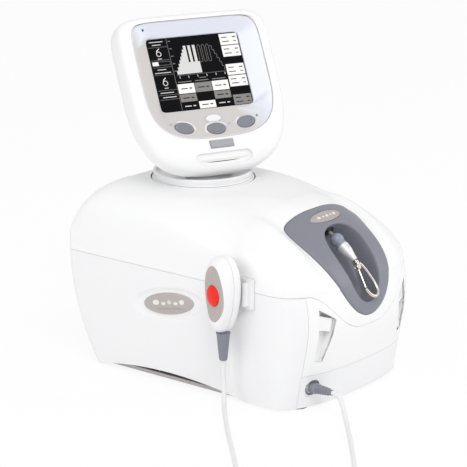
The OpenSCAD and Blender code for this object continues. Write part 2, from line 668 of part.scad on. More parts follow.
// ---------- latches, badges, handle, socket ----------
// Recess outline in front view for the left side: (x, z) corners.
latch_pts = [[-81, 57], [-70, 54], [-57, 102], [-79, 116]];
tab_pts = [[-78.4, 93], [-62.6, 88.5], [-60.2, 103], [-77.6, 109]];
latch_floor_y = -147;
function widen(pts, g) = let (c = (pts[0] + pts[1] + pts[2] + pts[3]) / 4)
    [for (p = pts) p + [sign(p[0] - c[0]), sign(p[1] - c[1])] * g];
function sided(pts, s) = [for (p = pts) [-s * p[0], p[1]]];
// A press tab whose face follows the turn of the front, with a stem through the recess's floor.
tab_turn = 0.295;
tab_face_y = -154.3;
function tab_ring(s, g, back) = [for (p = widen(tab_pts, g))
    [-s * p[0], back ? latch_floor_y - 3.3 : tab_face_y - tab_turn * (p[0] + 70) - g, p[1]]];
module latch_tab(s) {
    front = tab_ring(s, -1, false);
    color("whitesmoke") union() {
        if (s < 0) capped([tab_ring(s, 0, true), tab_ring(s, 0, false), front]);
        else capped([front, tab_ring(s, 0, false), tab_ring(s, 0, true)]);
        front_prism(sided(widen(tab_pts, -3), s), latch_floor_y - 3.3 - eps, latch_floor_y + 6);
    }
}
module latch_tab_left() {
    latch_tab(-1);
}
module latch_tab_right() {
    latch_tab(1);
}

side_badge_y = 34;
side_badge_z = 94;
side_badge_a = 37;
side_badge_b = 12.5;
side_badge_tilt = 11;
dish_a = 53;
dish_b = 18;
dish_deep = 1.6;
module on_side(s) {
    translate([s * (half_w(side_badge_z, 0)), side_badge_y, side_badge_z]) rotate([0, 0, 90 * s])
        rotate([90, 0, 0])
        rotate([0, 0, -s * side_badge_tilt]) children();
}
module side_dish(s) {
    on_side(s) translate([0, 0, -dish_deep]) linear_extrude(20) polygon(ellipse(dish_a, dish_b, 40));
}
module side_badge(s) {
    color("rosybrown") on_side(s) translate([0, 0, -dish_deep]) union() {
        linear_extrude(0.8) polygon(ellipse(side_badge_a, side_badge_b, 40));
        translate([0, 0, 0.8 - eps]) linear_extrude(0.5) polygon(ellipse(side_badge_a - 1,
            side_badge_b - 1, 40));
    }
}
module side_badge_left() {
    side_badge(-1);
}
module side_badge_right() {
    side_badge(1);
}

neck_y = 75;
// Carrying handle: a pocket let into the crown behind the neck.
handle_y = 149;
handle_l = 100;
handle_w = 22;
handle_floor_z = 172;
function stadium_pts(l, w) = [for (s = [1, -1], i = [0:10])
    [s * ((l - w) / 2 + w / 2 * cos(18 * i - 90)), s * w / 2 * sin(18 * i - 90)]];
module handle_hole(g) {
    translate([0, handle_y, handle_floor_z]) linear_extrude(90) polygon(stadium_pts(handle_l + 2 * g,
        handle_w + 2 * g));
}
function handle_ring(g, z) = [for (p = stadium_pts(handle_l - 2 * g, handle_w - 2 * g))
    [p[0], handle_y + p[1], z > 0 ? z : top_at(p[0], handle_y + p[1], 0) + z]];
module handle_cup() {
    color("whitesmoke") capped([
        handle_ring(4, handle_floor_z + 2), handle_ring(2, handle_floor_z + 4), handle_ring(2, -0.6),
        handle_ring(0, -0.6), handle_ring(0, handle_floor_z + 2), handle_ring(2, handle_floor_z)]);
}

// Round socket for the patient switch, low on the front band.
socket_x = -76;
socket_y = -141;
socket_z = 25;
socket_r = 9;
socket_boss_r = 11;
jack_r = 6.5;
pin_r = 3.2;
module switch_socket() {
    color("dimgray") translate([socket_x, socket_y + 8, socket_z]) rotate([90, 0, 0]) difference() {
        union() {
            translate([0, 0, -10]) cylinder(r = jack_r + 2, h = 12.8, $fn = 40);
            cylinder(r = jack_r, h = 7.5, $fn = 40);
        }
        translate([0, 0, -7]) cylinder(r = pin_r + run_fit, h = 20, $fn = 32);
    }
}

// ---------- neck ----------
neck_z = 206;          // top of the mast flange
collar_z = 214;
collar_top = 222;
swivel_r = 16;
module neck_base_ring() {
    color("white") translate([0, neck_y, neck_z]) difference() {
        rotate_extrude($fn = 72) polygon([[collar_r - 7, 0], [collar_r + 2, 0], [collar_r + 2, 6.6],
            [collar_r + 1, 7.6], [collar_r - 7, 7.6]]);
    }
}
module mast() {
    color("lightsteelblue") translate([0, neck_y, 0]) difference() {
        union() {
            translate([0, 0, plate_top_z]) cylinder(r = mast_r + 14, h = 5, $fn = 48);
            translate([0, 0, plate_top_z]) cylinder(r = mast_r, h = neck_z - plate_top_z, $fn = 48);
            translate([0, 0, neck_z - 4]) cylinder(r = collar_r - 1, h = 4, $fn = 64);
        }
        translate([0, 0, -1]) cylinder(r = mast_r - 3, h = neck_z - 20, $fn = 48);
        translate([0, 0, 20]) cylinder(r = swivel_r - 6 + run_fit, h = 400, $fn = 48);
        for (a = [45:90:315]) rotate([0, 0, a]) translate([mast_r + 8, 0, 0]) cylinder(r = 2.2, h = 30,
            $fn = 24);
    }
}
module neck_collar() {
    color("white") translate([0, neck_y, 0]) difference() {
        union() {
            translate([0, 0, collar_z]) rotate_extrude($fn = 72) polygon([[0, 0], [collar_r, 0],
                [collar_r, 0.6], [collar_r - 0.6, 1.4],
                [collar_r + 0.6, collar_top - collar_z - 0.8], [collar_r - 0.2, collar_top - collar_z],
                [collar_r - 3, collar_top - collar_z], [collar_r - 3.4, 4], [0, 4]]);
            translate([0, 0, neck_z + 0.2]) cylinder(r = swivel_r, h = collar_z - neck_z - 0.2 + eps,
                $fn = 48);
            translate([0, 0, neck_z - 16]) cylinder(r = swivel_r - 6, h = 17, $fn = 48);
        }
        translate([0, 0, 100]) cylinder(r = 5, h = 200, $fn = 32);
    }
}
module at_pivot() {
    translate([0, neck_y, tilt_z]) rotate([0, 0, -head_turn]) children();
}
yoke_x = 24;
yoke_t = 6;
pivot_r = 5;
barrel_r = 11;
module tilt_yoke() {
    h = tilt_z - collar_z - 4;
    color("lightsteelblue") at_pivot() difference() {
        union() {
            for (s = [-1, 1]) translate([s * (yoke_x + yoke_t / 2) - yoke_t / 2, 0, 0]) rotate([90, 0,
                90]) linear_extrude(yoke_t) union() {
                polygon([[-barrel_r, 0], [-15, -h], [15, -h], [barrel_r, 0]]);
                circle(r = barrel_r, $fn = 48);
            }
            translate([-yoke_x - yoke_t, -17, -h]) cube([2 * yoke_x + 2 * yoke_t, 34, 3]);
        }
        translate([-50, 0, 0]) rotate([0, 90, 0]) cylinder(r = pivot_r, h = 100, $fn = 40);
        translate([0, 0, -h - 1]) cylinder(r = 5, h = 9, $fn = 32);
    }
}
module tilt_pin() {
    l = 2 * (yoke_x + yoke_t);
    color("silver") at_pivot() rotate([0, 90, 0]) union() {
        translate([0, 0, -l / 2 - 1]) cylinder(r = pivot_r, h = l + 2, $fn = 40);
        for (s = [-1, 1]) translate([0, 0, s * (l / 2 + 1.5) - 1.5]) cylinder(r = pivot_r + 2.5, h = 3,
            $fn = 6);
    }
}

// ---------- head ----------
// The head's frame: x to its right, y up its face, z out of the screen; the window's centre is its origin.
lcd_up = 71.6;
lcd_out = 33;
module in_head() {
    at_pivot() rotate([90 - head_lean, 0, 0]) translate([0, lcd_up, lcd_out]) children();
}
head_n = 48;
head_mid = -10;
head_top = 79.5;
head_bottom = 110;
// One outline: a half width, its reach above and below the middle, and the corner powers.
function lobed(a, up, down, pu, pd, z) = [for (i = [0:head_n - 1]) let (t = 360 * (i + 0.5) / head_n, s =
    sin(t), c = cos(t),
    p = s > 0 ? pu : pd) [a * signed_pow(c, 2 / p), head_mid + (s > 0 ? up : down) * signed_pow(s,
        2 / p), z]];
function head_ring(inset, drop, z) = lobed(head_half_w - inset, head_top - inset,
    head_bottom - inset - drop, 8, 3.1, z);
function mouth_ring(inset, z) = lobed(80.5 - inset, 72 - inset, 72 - inset, 8, 3.2, z);
function window_ring(g, z) = [for (p = lobed(window_w / 2 + g, window_h / 2 + g, window_h / 2 + g, 24,
    24, z)) [p[0], p[1] - head_mid, z]];
part_z = -15;
module head_front_housing() {
    color("white") in_head() difference() {
        looped([mouth_ring(0, 10.6), mouth_ring(-1.2, 11.8), head_ring(9, 12, 12.4), head_ring(4, 8,
            10.8), head_ring(1.2, 3.5, 6.5),
            head_ring(0, 0.5, 0), head_ring(0, 0, part_z + seam_gap / 2), head_ring(wall, 0,
                part_z + seam_gap / 2),
            head_ring(wall, 0.5, -1), head_ring(wall + 3, 6, 6.5), mouth_ring(-3, 7.6), mouth_ring(0, 7.6)]);
        translate([0, slot_v, 0]) rotate([slot_tip, 0, 0]) translate([0, 0, slot_floor + 1])
            linear_extrude(30) polygon(stadium_pts(72, 15));
        translate([0, slot_v, 0]) rotate([slot_tip, 0, 0]) translate([0, -1, 0]) cube([56, 3, 60],
            center = true);
        translate([0, tab_v, 0]) linear_extrude(60) square([tab_w + 0.6, tab_h + 0.6], center = true);
    }
}
slot_v = -102;
slot_tip = 24;
slot_floor = 6.5;
tab_v = -90;
tab_w = 29;
tab_h = 9;
module card_tab() {
    color("gray") in_head() translate([0, tab_v, 0]) union() {
        translate([0, 0, 4]) linear_extrude(9.4) square([tab_w, tab_h], center = true);
        translate([0, 0, 13.4 - eps]) linear_extrude(0.5) square([tab_w - 1.6, tab_h - 1.6], center = true);
        translate([0, 1, 2]) linear_extrude(2) square([tab_w - 6, 5], center = true);
    }
}
module head_rear_housing() {
    z0 = part_z - seam_gap / 2;
    color("white") in_head() difference() {
        capped([
            head_ring(38 + wall, 50, -50 + wall), head_ring(26 + wall, 42, -46 + wall),
                head_ring(12 + wall, 27, -34), head_ring(3 + wall, 10, -24),
            head_ring(wall, 2, z0), head_ring(0, 2, z0),
            head_ring(3, 10, -24), head_ring(12, 27, -36), head_ring(26, 42, -46), head_ring(38, 50, -50)]);
        pivot_space(barrel_r + 3, yoke_x + yoke_t + 5);
        for (i = [-4:4]) translate([i * 9 - 2, 20, -60]) cube([4, 26, 30]);
    }
}
module pivot_space(r, x) {
    translate([0, -lcd_up, -lcd_out]) rotate([head_lean - 90, 0, 0]) {
        rotate([0, 90, 0]) cylinder(r = r, h = 2 * x, center = true, $fn = 40);
        translate([-x, -34, -60]) cube([2 * x, 68, 60]);
    }
}
module tilt_knuckle() {
    color("lightsteelblue") in_head() difference() {
        union() {
            translate([0, -lcd_up, -lcd_out]) rotate([0, 90, 0]) cylinder(r = barrel_r, h =
                2 * yoke_x - 0.6, center = true, $fn = 48);
            translate([-yoke_x + 2, -lcd_up, -lcd_out - 4]) cube([2 * yoke_x - 4, 22, 8]);
            translate([-yoke_x + 2, -lcd_up + 14, -lcd_out - 4]) cube([2 * yoke_x - 4, 8,
                lcd_out + 4 - chassis_back]);
        }
        translate([0, -lcd_up, -lcd_out]) rotate([0, 90, 0]) cylinder(r = pivot_r + run_fit, h = 100,
            center = true, $fn = 40);
    }
}
// The screen surround slopes in from the mouth of the housing to the window.
key_tip = 13;
module screen_bezel() {
    color("silver") in_head() difference() {
        looped([mouth_ring(0.4, 9.8), mouth_ring(2.4, 10), window_ring(1, 1.2), window_ring(0, 0.4),
            window_ring(0, -1.2),
            window_ring(5, -1.2), mouth_ring(5, 6.4), mouth_ring(-1.2, 6.6), mouth_ring(-1.2, 7.5),
                mouth_ring(0.4, 7.5)]);
        for (k = keys) key_prism(k, key_a + 0.35, key_b + 0.35, -20, 40);
        key_prism(home_key, home_a + 0.35, home_b + 0.35, -20, 40);
        for (p = leds) translate([p[0], p[1], -20]) cylinder(r = led_r + 0.15, h = 40, $fn = 20);
    }
}
keys = [[-39, -66.5, -12], [0, -71, 0], [39, -66.5, 12]];
key_a = 11.5;
key_b = 7;
home_key = [0, -58, 0];
home_a = 9.5;
home_b = 4.6;
key_travel = 0.8;
leds = [[-54, -60.5], [18, -66], [54, -60.5], [-62, 53]];
led_r = 1.4;
pad_top = -2.8;
module key_prism(k, a, b, z0, z1) {
    translate([k[0], k[1], z0]) rotate([0, 0, k[2]]) linear_extrude(z1 - z0) polygon(ellipse(a, b, 28));
}
function slope_h(v) = 1.2 + 8.8 * (-44 - v) / 37;   // the surround's surface below the window
module key(k, a, b) {
    h = slope_h(k[1]);
    color("slategray") in_head() union() {
        key_prism(k, a - 3.5, b - 2, pad_top + key_travel + 0.2, h - 3.5);
        key_prism(k, a, b, h - 3.6, h + 1.4);
        key_prism(k, a - 0.8, b - 0.8, h + 1.39, h + 2.1);
    }
}
module key_stop() { key(keys[0], key_a, key_b); }
module key_pause() { key(keys[1], key_a, key_b); }
module key_start() { key(keys[2], key_a, key_b); }
module key_home() { key(home_key, home_a, home_b); }
module led_lenses() {
    color("lightgray") in_head() for (p = leds) translate([p[0], p[1], pad_top]) cylinder(r = led_r, h =
        (p[1] < 0 ? slope_h(p[1]) : 3.4) - pad_top + 0.3, $fn = 20);
}
module touch_glass() {
    color("darkslategray", 0.6) in_head() translate([0, 0, -3]) linear_extrude(1.8) square([window_w + 9,
        window_h + 9], center = true);
}
lcd_t = 6;
module lcd_panel() {
    color("black") in_head() translate([0, 0, -3 - lcd_t]) union() {
        linear_extrude(lcd_t) square([window_w + 9, window_h + 9], center = true);
        for (s = [-1, 1]) translate([s * 40, -30, 0]) linear_extrude(lcd_t) square([8, 20], center = true);
    }
}
chassis_back = 11.05;     // depth of the plate's rear face behind the window plane
module head_chassis() {
    z0 = -chassis_back;
    color("gainsboro") in_head() difference() {
        union() {
            translate([0, -10, z0]) linear_extrude(2) square([window_w + 14, window_h + 38], center = true);
            for (s = [-1, 1], y = [-62, 44]) translate([s * (window_w / 2 + 4), y, z0]) cylinder(r = 3,
                h = 2, $fn = 24);
            for (s = [-1, 1]) translate([s * 50, -64, z0]) cylinder(r = 3, h = pad_top - 1.6 - z0, $fn = 24);
            for (s = [-1, 1]) translate([s * (window_w / 2 + 9), 0, z0]) linear_extrude(2) square([8,
                60], center = true);
        }
        for (s = [-1, 1], y = [-10, 20]) translate([s * 30, y, -50]) cylinder(r = 6, h = 100, $fn = 32);
    }
}
module keypad_board() {
    color("seagreen") in_head() union() {
        translate([0, -66, pad_top - 1.6]) linear_extrude(1.6) square([120, 26], center = true);
        translate([-62, 53, pad_top - 1.6]) linear_extrude(1.6) square([10, 6], center = true);
    }
}

// ---------- patient switch ----------
hand_x = -128.2;
hand_y = -60;
hand_z = 128;
hand_turn = -108;      // its face looks out to the side and a little back
hand_h = 43;
hand_w = 25;
hand_front = 13;       // face of the front half from the parting plane
hand_back = 12;
module in_hand() {
    translate([hand_x, hand_y, hand_z]) rotate([0, 0, hand_turn]) children();
}
// Pear-shaped outline, wide at the top and narrow at the cord.
function pear(k, y) = [for (i = [0:31]) let (t = 360 * i / 32, n = (1 + cos(t)) / 2)
    [(hand_w - 11 * pow(1 - n, 1.6)) * k * signed_pow(sin(t), 0.92), -y, hand_h * (k + (1 - k) * 0.25)
        * signed_pow(cos(t), 0.96)]];
module hand_switch_front() {
    color("white") in_hand() difference() {
        capped([pear(0.999, 0.2), pear(1, 3), pear(0.96, 7.5), pear(0.86, 11), pear(0.72, hand_front)]);
        rotate([90, 0, 0]) translate([0, 0, 2.5]) cylinder(r = button_r + 0.4, h = 30, $fn = 48);
        rotate([90, 0, 0]) translate([0, 0, -1]) cylinder(r = button_r - 2.6, h = 30, $fn = 48);
        relief_bore(0.02);
    }
}
module hand_switch_rear() {
    color("white") in_hand() difference() {
        capped([pear(0.74, -hand_back), pear(0.88, -10), pear(0.97, -6), pear(1, -2.5), pear(0.999, -0.2)]);
        relief_bore(0.02);
        rotate([90, 0, 0]) translate([0, 0, -6]) cylinder(r = 6, h = 6, $fn = 32);
    }
}
module hand_button() {
    color("red") in_hand() rotate([90, 0, 0]) union() {
        translate([0, 0, 6]) rotate_extrude($fn = 48) polygon([[0, 0], [button_r, 0], [button_r, 7.5],
            [button_r - 1.2, 9], [button_r * 0.6, 10.2], [0, 10.6]]);
        translate([0, 0, 2.4]) cylinder(r = button_r - 3, h = 3.6 + eps, $fn = 40);
    }
}
relief_r = 8;
relief_len = 32;
relief_top = hand_z - hand_h + 5;
relief_end = relief_top - 5 - relief_len;
module relief_bore(g) {
    translate([0, 0, -hand_h - 1]) cylinder(r = 5 + g, h = 8, $fn = 32);
}
module hand_relief() {
    color("slategray") translate([hand_x, hand_y, relief_end]) union() {
        rotate_extrude($fn = 40) polygon([[0, 0], [cord_r + 1.6, 0], [cord_r + 2, 2],
            [relief_r - 0.6, relief_len - 3], [relief_r, relief_len - 1.4], [relief_r, relief_len - 0.6],
            [0, relief_len - 0.6]]);
        translate([0, 0, relief_len - 0.7]) cylinder(r = 5, h = 6, $fn = 32);
    }
}
// The holder: a foot on the side wall and a fork that the switch's back hangs in.
module switch_holder() {
    w = half_w(hand_z, 0);
    color("white") union() {
        translate([-w - 2.6, -90, 112]) cube([2.3, 22, 34]);
        translate([-w - 8.6, -84, 116]) cube([6.2, 4, 26]);
        translate([-w - 4, -84, 118]) cube([3, 4, 22]);
    }
}

// ---------- cord ----------
coil_mid = 33;
coil_x = -330;
coil_y = -318;
coil_rows = 4;
coil_turns = 3;
function cord_dir(pts, i) = let (n = len(pts), v = pts[min(n - 1, i + 1)] - pts[max(0, i - 1)]) v / norm(v);
function cord_ring(pts, i) = let (d = cord_dir(pts, i), s = norm(cross(d, [0.31, 0.22, 0.93]))
    > 0.3 ? [0.31, 0.22, 0.93] : [1, 0, 0],
    a = cross(d, s) / norm(cross(d, s)), b = cross(d, a)) [for (k = [0:7]) pts[i] + cord_r * (cos(45 * k)
        * a + sin(45 * k) * b)];
module cord_tube(pts) {
    capped([for (i = [0:len(pts) - 1]) cord_ring(pts, i)]);
}
out_pts = [[hand_x, hand_y, relief_end], [hand_x, hand_y, 42], [-128, -60.4, 31], [-129.2, -62, 20],
    [-133, -65, 11], [-140, -71, 5], [-150, -80, 3], [-170, -98, 2.8], [-200, -126, 2.8], [-235, -160, 2.8],
    [-268, -192, 2.8], [-300, -227, 2.8], [-330, -260, 2.8], [-350, -282.5, 2.8], [-358.9, -292.6, 2.8]];
back_pts = [[-76, -170, 25], [-76, -174, 25], [-77.2, -179.5, 23.4], [-80, -185, 20], [-83.5, -189.5, 16],
    [-88, -195, 11.5], [-94, -201.5, 7.5], [-102, -209.5, 4.6], [-112.5, -218.8, 3], [-127, -231.6, 2.8],
    [-154, -254, 2.8], [-191, -284, 2.8], [-216, -299, 3.6], [-245, -315, 8], [-275, -331.7, 14],
    [-298, -344.5, 18.3], [-311.5, -351.9, 19.2]];
module switch_cord_out() {
    color("whitesmoke") cord_tube(out_pts);
}
module switch_cord_back() {
    color("whitesmoke") cord_tube(back_pts);
}
module switch_cord_coil() {
    color("whitesmoke") translate([coil_x, coil_y, 0]) rotate_extrude($fn = 64)
        translate([coil_mid - coil_turns * cord_r, 0]) square([coil_turns * cord_d, coil_rows * cord_d]);
}
plug_len = 24;
module switch_plug() {
    color("slategray") translate([socket_x, socket_y - 1.2, socket_z]) rotate([90, 0, 0]) union() {
        rotate_extrude($fn = 40) polygon(concat([[0, 0], [6.2, 0], [6.2, 6]],
            [for (i = [0:5], k = [0, 1]) [5.8 - i * 0.28 - k * 1.1, 7 + i * 3.2 + k * 1.4]],
                [[cord_r + 0.6, 27.8], [0, 27.8]]));
        translate([0, 0, -7]) cylinder(r = pin_r, h = 7 + eps, $fn = 32);
    }
}

base_plate();
rubber_feet();
base_screws();
lower_housing();
front_band();
front_panel();
upper_shell();
rope_bezel();
bezel_badge();
side_badge_left();
side_badge_right();
handle_cup();
latch_tab_left();
latch_tab_right();
neck_base_ring();
mast();
chassis();
gear_motor();
power_supply();
control_board();
mains_inlet();
power_rocker();
switch_socket();
rope_fairlead();
rope_pulley();
pulley_axle();
rope_drum();
drum_shaft();
rope_inner_run();
pull_rope();
rope_bumper();
hook_ferrule();
snap_hook();
hook_gate();
neck_collar();
tilt_yoke();
tilt_pin();
tilt_knuckle();
head_rear_housing();
head_front_housing();
screen_bezel();
touch_glass();
lcd_panel();
head_chassis();
keypad_board();
key_stop();
key_pause();
key_start();
key_home();
led_lenses();
card_tab();
switch_holder();
hand_switch_rear();
hand_switch_front();
hand_button();
hand_relief();
switch_cord_out();
switch_cord_coil();
switch_cord_back();
switch_plug();
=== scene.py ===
import math

import bmesh
import bpy
import numpy as np
from mathutils import Matrix, Vector


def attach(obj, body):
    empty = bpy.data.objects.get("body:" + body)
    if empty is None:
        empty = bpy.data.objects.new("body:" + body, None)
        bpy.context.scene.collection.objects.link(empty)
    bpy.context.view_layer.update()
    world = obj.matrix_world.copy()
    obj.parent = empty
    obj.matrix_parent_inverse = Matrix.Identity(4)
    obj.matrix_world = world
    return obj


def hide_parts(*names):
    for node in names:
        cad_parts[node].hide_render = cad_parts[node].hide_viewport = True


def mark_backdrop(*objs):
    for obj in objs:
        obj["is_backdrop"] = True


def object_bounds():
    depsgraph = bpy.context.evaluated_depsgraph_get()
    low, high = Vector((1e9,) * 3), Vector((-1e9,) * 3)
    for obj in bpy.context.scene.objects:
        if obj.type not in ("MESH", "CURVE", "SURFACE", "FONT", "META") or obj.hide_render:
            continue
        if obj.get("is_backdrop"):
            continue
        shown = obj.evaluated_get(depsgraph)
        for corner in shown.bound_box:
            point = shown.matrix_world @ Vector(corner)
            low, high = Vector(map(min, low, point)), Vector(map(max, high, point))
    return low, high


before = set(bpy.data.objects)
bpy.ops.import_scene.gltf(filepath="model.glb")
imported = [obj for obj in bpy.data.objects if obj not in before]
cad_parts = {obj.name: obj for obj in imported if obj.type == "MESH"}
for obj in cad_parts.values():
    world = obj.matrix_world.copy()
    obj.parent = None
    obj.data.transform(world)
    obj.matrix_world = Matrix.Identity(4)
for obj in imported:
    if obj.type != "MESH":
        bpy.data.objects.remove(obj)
cad_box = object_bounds()
MM = 0.001
scene = bpy.context.scene


# ---------- materials ----------
def material(name, color, rough=0.4, metal=0.0, coat=0.0, grain=0.0, grain_scale=900.0, alpha=1.0, bump=0.0,
             glow=0.0):
    m = bpy.data.materials.new(name)
    m.use_nodes = True
    nt = m.node_tree
    b = nt.nodes["Principled BSDF"]
    b.inputs["Base Color"].default_value = (*color, 1)
    b.inputs["Roughness"].default_value = rough
    b.inputs["Metallic"].default_value = metal
    b.inputs["Coat Weight"].default_value = coat
    b.inputs["Coat Roughness"].default_value = 0.12
    b.inputs["Alpha"].default_value = alpha
    if glow:
        b.inputs["Emission Color"].default_value = (*color, 1)
        b.inputs["Emission Strength"].default_value = glow
    if grain or bump:
        tc = nt.nodes.new("ShaderNodeTexCoord")
        noise = nt.nodes.new("ShaderNodeTexNoise")
        noise.inputs["Scale"].default_value = grain_scale
        noise.inputs["Detail"].default_value = 3.0
        nt.links.new(tc.outputs["Object"], noise.inputs["Vector"])
        if grain:
            ramp = nt.nodes.new("ShaderNodeMapRange")
            ramp.inputs["To Min"].default_value = max(0.02, rough - grain)
            ramp.inputs["To Max"].default_value = min(1.0, rough + grain)
            nt.links.new(noise.outputs["Fac"], ramp.inputs["Value"])
            nt.links.new(ramp.outputs["Result"], b.inputs["Roughness"])
        if bump:
            bp = nt.nodes.new("ShaderNodeBump")
            bp.inputs["Strength"].default_value = bump
            bp.inputs["Distance"].default_value = 0.0003
            nt.links.new(noise.outputs["Fac"], bp.inputs["Height"])
            nt.links.new(bp.outputs["Normal"], b.inputs["Normal"])
    return m


WHITE = material("white_shell", (0.86, 0.86, 0.865), 0.34, coat=0.25, grain=0.05, bump=0.03)
WHITE_LOW = material("white_lower", (0.84, 0.84, 0.85), 0.36, coat=0.2, grain=0.05, bump=0.03)
SLATE = material("slate", (0.205, 0.21, 0.25), 0.45, coat=0.1, grain=0.08, bump=0.08)
SLATE_KEY = material("slate_key", (0.20, 0.205, 0.235), 0.38, coat=0.2, grain=0.05)
BADGE = material("badge", (0.47, 0.43, 0.41), 0.38, metal=0.35, grain=0.08)
BADGE_DARK = material("badge_dark", (0.36, 0.34, 0.34), 0.4, metal=0.5, grain=0.08)
BADGE_LIGHT = material("badge_light", (0.80, 0.77, 0.72), 0.34, metal=0.2, grain=0.05)
FRAME_GREY = material("screen_frame", (0.60, 0.585, 0.575), 0.36, coat=0.2, grain=0.05)
NICKEL = material("nickel", (0.62, 0.58, 0.53), 0.2, metal=1.0, grain=0.05)
SILVER = material("silver_white", (0.80, 0.80, 0.81), 0.3, metal=0.35, coat=0.3)
STEEL = material("steel", (0.55, 0.56, 0.58), 0.32, metal=1.0, grain=0.08)
ZINC = material("zinc", (0.55, 0.57, 0.60), 0.42, metal=0.7, grain=0.1)
RED = material("red", (0.86, 0.016, 0.006), 0.4)
# Painted shade: the base plate is made grey to look like the shaded recess under the side panels.
SHADED_PLATE = material("plate_painted_shade", (0.50, 0.475, 0.47), 0.5, grain=0.06)
CORD = material("cord", (0.78, 0.78, 0.785), 0.5, grain=0.06)
RUBBER = material("rubber", (0.03, 0.03, 0.032), 0.8, grain=0.1)
BLACK = material("black_plastic", (0.02, 0.02, 0.022), 0.45, grain=0.08)
ROPE = material("rope", (0.30, 0.30, 0.31), 0.9, bump=0.6, grain_scale=2500)
BUMPER = material("bumper", (0.27, 0.29, 0.36), 0.4, coat=0.2, bump=0.05)
BOARD = material("board", (0.02, 0.16, 0.07), 0.4, coat=0.4)
LCD_BLACK = material("lcd_black", (0.004, 0.004, 0.005), 0.5)
LCD_WHITE = material("lcd_white", (0.78, 0.77, 0.75), 0.4, glow=0.15)
LCD_GREY = material("lcd_grey", (0.20, 0.19, 0.185), 0.4, glow=0.08)
LCD_PALE = material("lcd_pale", (0.55, 0.545, 0.54), 0.4, glow=0.18)
# Painted shade: dark grey for the sheet behind the card slot's slit.
SLOT_SHADE = material("slot_painted_shade", (0.13, 0.13, 0.135), 0.4)
TAB_GREY = material("tab_grey", (0.36, 0.36, 0.38), 0.5, grain=0.06)
KEY_WHITE = material("key_white", (0.80, 0.80, 0.81), 0.35, coat=0.2)
HALO = material("halo", (0.76, 0.75, 0.745), 0.4)
LENS = material("lens", (0.45, 0.47, 0.50), 0.2, coat=0.6)
BLUE = material("blue_lamp", (0.10, 0.28, 0.95), 0.25, glow=0.9)


def node_of(nt, kind, op=None, inputs=()):
    n = nt.nodes.new(kind)
    if op:
        n.operation = op
    for i, v in enumerate(inputs):
        if v is None:
            continue
        if isinstance(v, bpy.types.NodeSocket):
            nt.links.new(v, n.inputs[i])
        else:
            n.inputs[i].default_value = v
    return n


def oval_face(name, centre, turn, a, b):
    """White plastic with a speckled oval on its front."""
    m = material(name, (0.84, 0.84, 0.85), 0.34, coat=0.2)
    nt = m.node_tree
    tc = nt.nodes.new("ShaderNodeTexCoord")
    rel = node_of(nt, "ShaderNodeVectorMath", "SUBTRACT", (tc.outputs["Object"], centre)).outputs[0]
    x = node_of(nt, "ShaderNodeVectorMath", "DOT_PRODUCT",
                (rel, (math.cos(turn) / a, math.sin(turn) / a, 0))).outputs["Value"]
    z = node_of(nt, "ShaderNodeVectorMath", "DOT_PRODUCT", (rel, (0, 0, 1 / b))).outputs["Value"]
    d = node_of(nt, "ShaderNodeVectorMath", "DOT_PRODUCT",
                (rel, (math.sin(turn), -math.cos(turn), 0))).outputs["Value"]
    xx = node_of(nt, "ShaderNodeMath", "MULTIPLY", (x, x)).outputs[0]
    zz = node_of(nt, "ShaderNodeMath", "MULTIPLY", (z, z)).outputs[0]
    r = node_of(nt, "ShaderNodeMath", "ADD", (xx, zz)).outputs[0]
    inside = node_of(nt, "ShaderNodeMath", "LESS_THAN", (r, 1.0)).outputs[0]
    ahead = node_of(nt, "ShaderNodeMath", "GREATER_THAN", (d, 0.009)).outputs[0]
    mask = node_of(nt, "ShaderNodeMath", "MULTIPLY", (inside, ahead)).outputs[0]
    noise = nt.nodes.new("ShaderNodeTexNoise")
    noise.inputs["Scale"].default_value = 1400.0
    nt.links.new(tc.outputs["Object"], noise.inputs["Vector"])
    ramp = nt.nodes.new("ShaderNodeValToRGB")
    ramp.color_ramp.elements[0].position = 0.35
    ramp.color_ramp.elements[1].position = 0.68
    ramp.color_ramp.elements[0].color = (0.36, 0.32, 0.31, 1)
    ramp.color_ramp.elements[1].color = (0.50, 0.45, 0.43, 1)
    nt.links.new(noise.outputs["Fac"], ramp.inputs["Fac"])
    mix = nt.nodes.new("ShaderNodeMixRGB")
    mix.inputs[1].default_value = (0.84, 0.84, 0.85, 1)
    nt.links.new(mask, mix.inputs[0])
    nt.links.new(ramp.outputs["Color"], mix.inputs[2])
    nt.links.new(mix.outputs[0], nt.nodes["Principled BSDF"].inputs["Base Color"])
    return m


def painted_cool_reflection(m, right, up, cool, warm):
    """Painted reflection: the surround's upper and right walls get a cooler base colour than the rest, standing
    in for the cooler light they reflect.
    """
    nt = m.node_tree
    tc = nt.nodes.new("ShaderNodeTexCoord")
    n = tc.outputs["Normal"]
    a = node_of(nt, "ShaderNodeVectorMath", "DOT_PRODUCT", (n, tuple(-c for c in right))).outputs["Value"]
    b = node_of(nt, "ShaderNodeVectorMath", "DOT_PRODUCT", (n, tuple(-c for c in up))).outputs["Value"]
    top = node_of(nt, "ShaderNodeMath", "MAXIMUM", (a, b)).outputs[0]
    fac = nt.nodes.new("ShaderNodeMapRange")
    fac.inputs["From Min"].default_value = 0.05
    fac.inputs["From Max"].default_value = 0.22
    nt.links.new(top, fac.inputs["Value"])
    mix = nt.nodes.new("ShaderNodeMixRGB")
    mix.inputs[1].default_value = (*warm, 1)
    mix.inputs[2].default_value = (*cool, 1)
    nt.links.new(fac.outputs[0], mix.inputs[0])
    nt.links.new(mix.outputs[0], nt.nodes["Principled BSDF"].inputs["Base Color"])


# ---------- mesh helpers (points in millimetres) ----------
def mesh_object(name, points, faces, mat, smooth_angle=35.0):
    me = bpy.data.meshes.new(name)
    me.from_pydata([tuple(float(c) * MM for c in p) for p in points], [], [tuple(f) for f in faces])
    ob = bpy.data.objects.new(name, me)
    scene.collection.objects.link(ob)
    me.materials.append(mat)
    clean(ob, smooth_angle)
    return ob


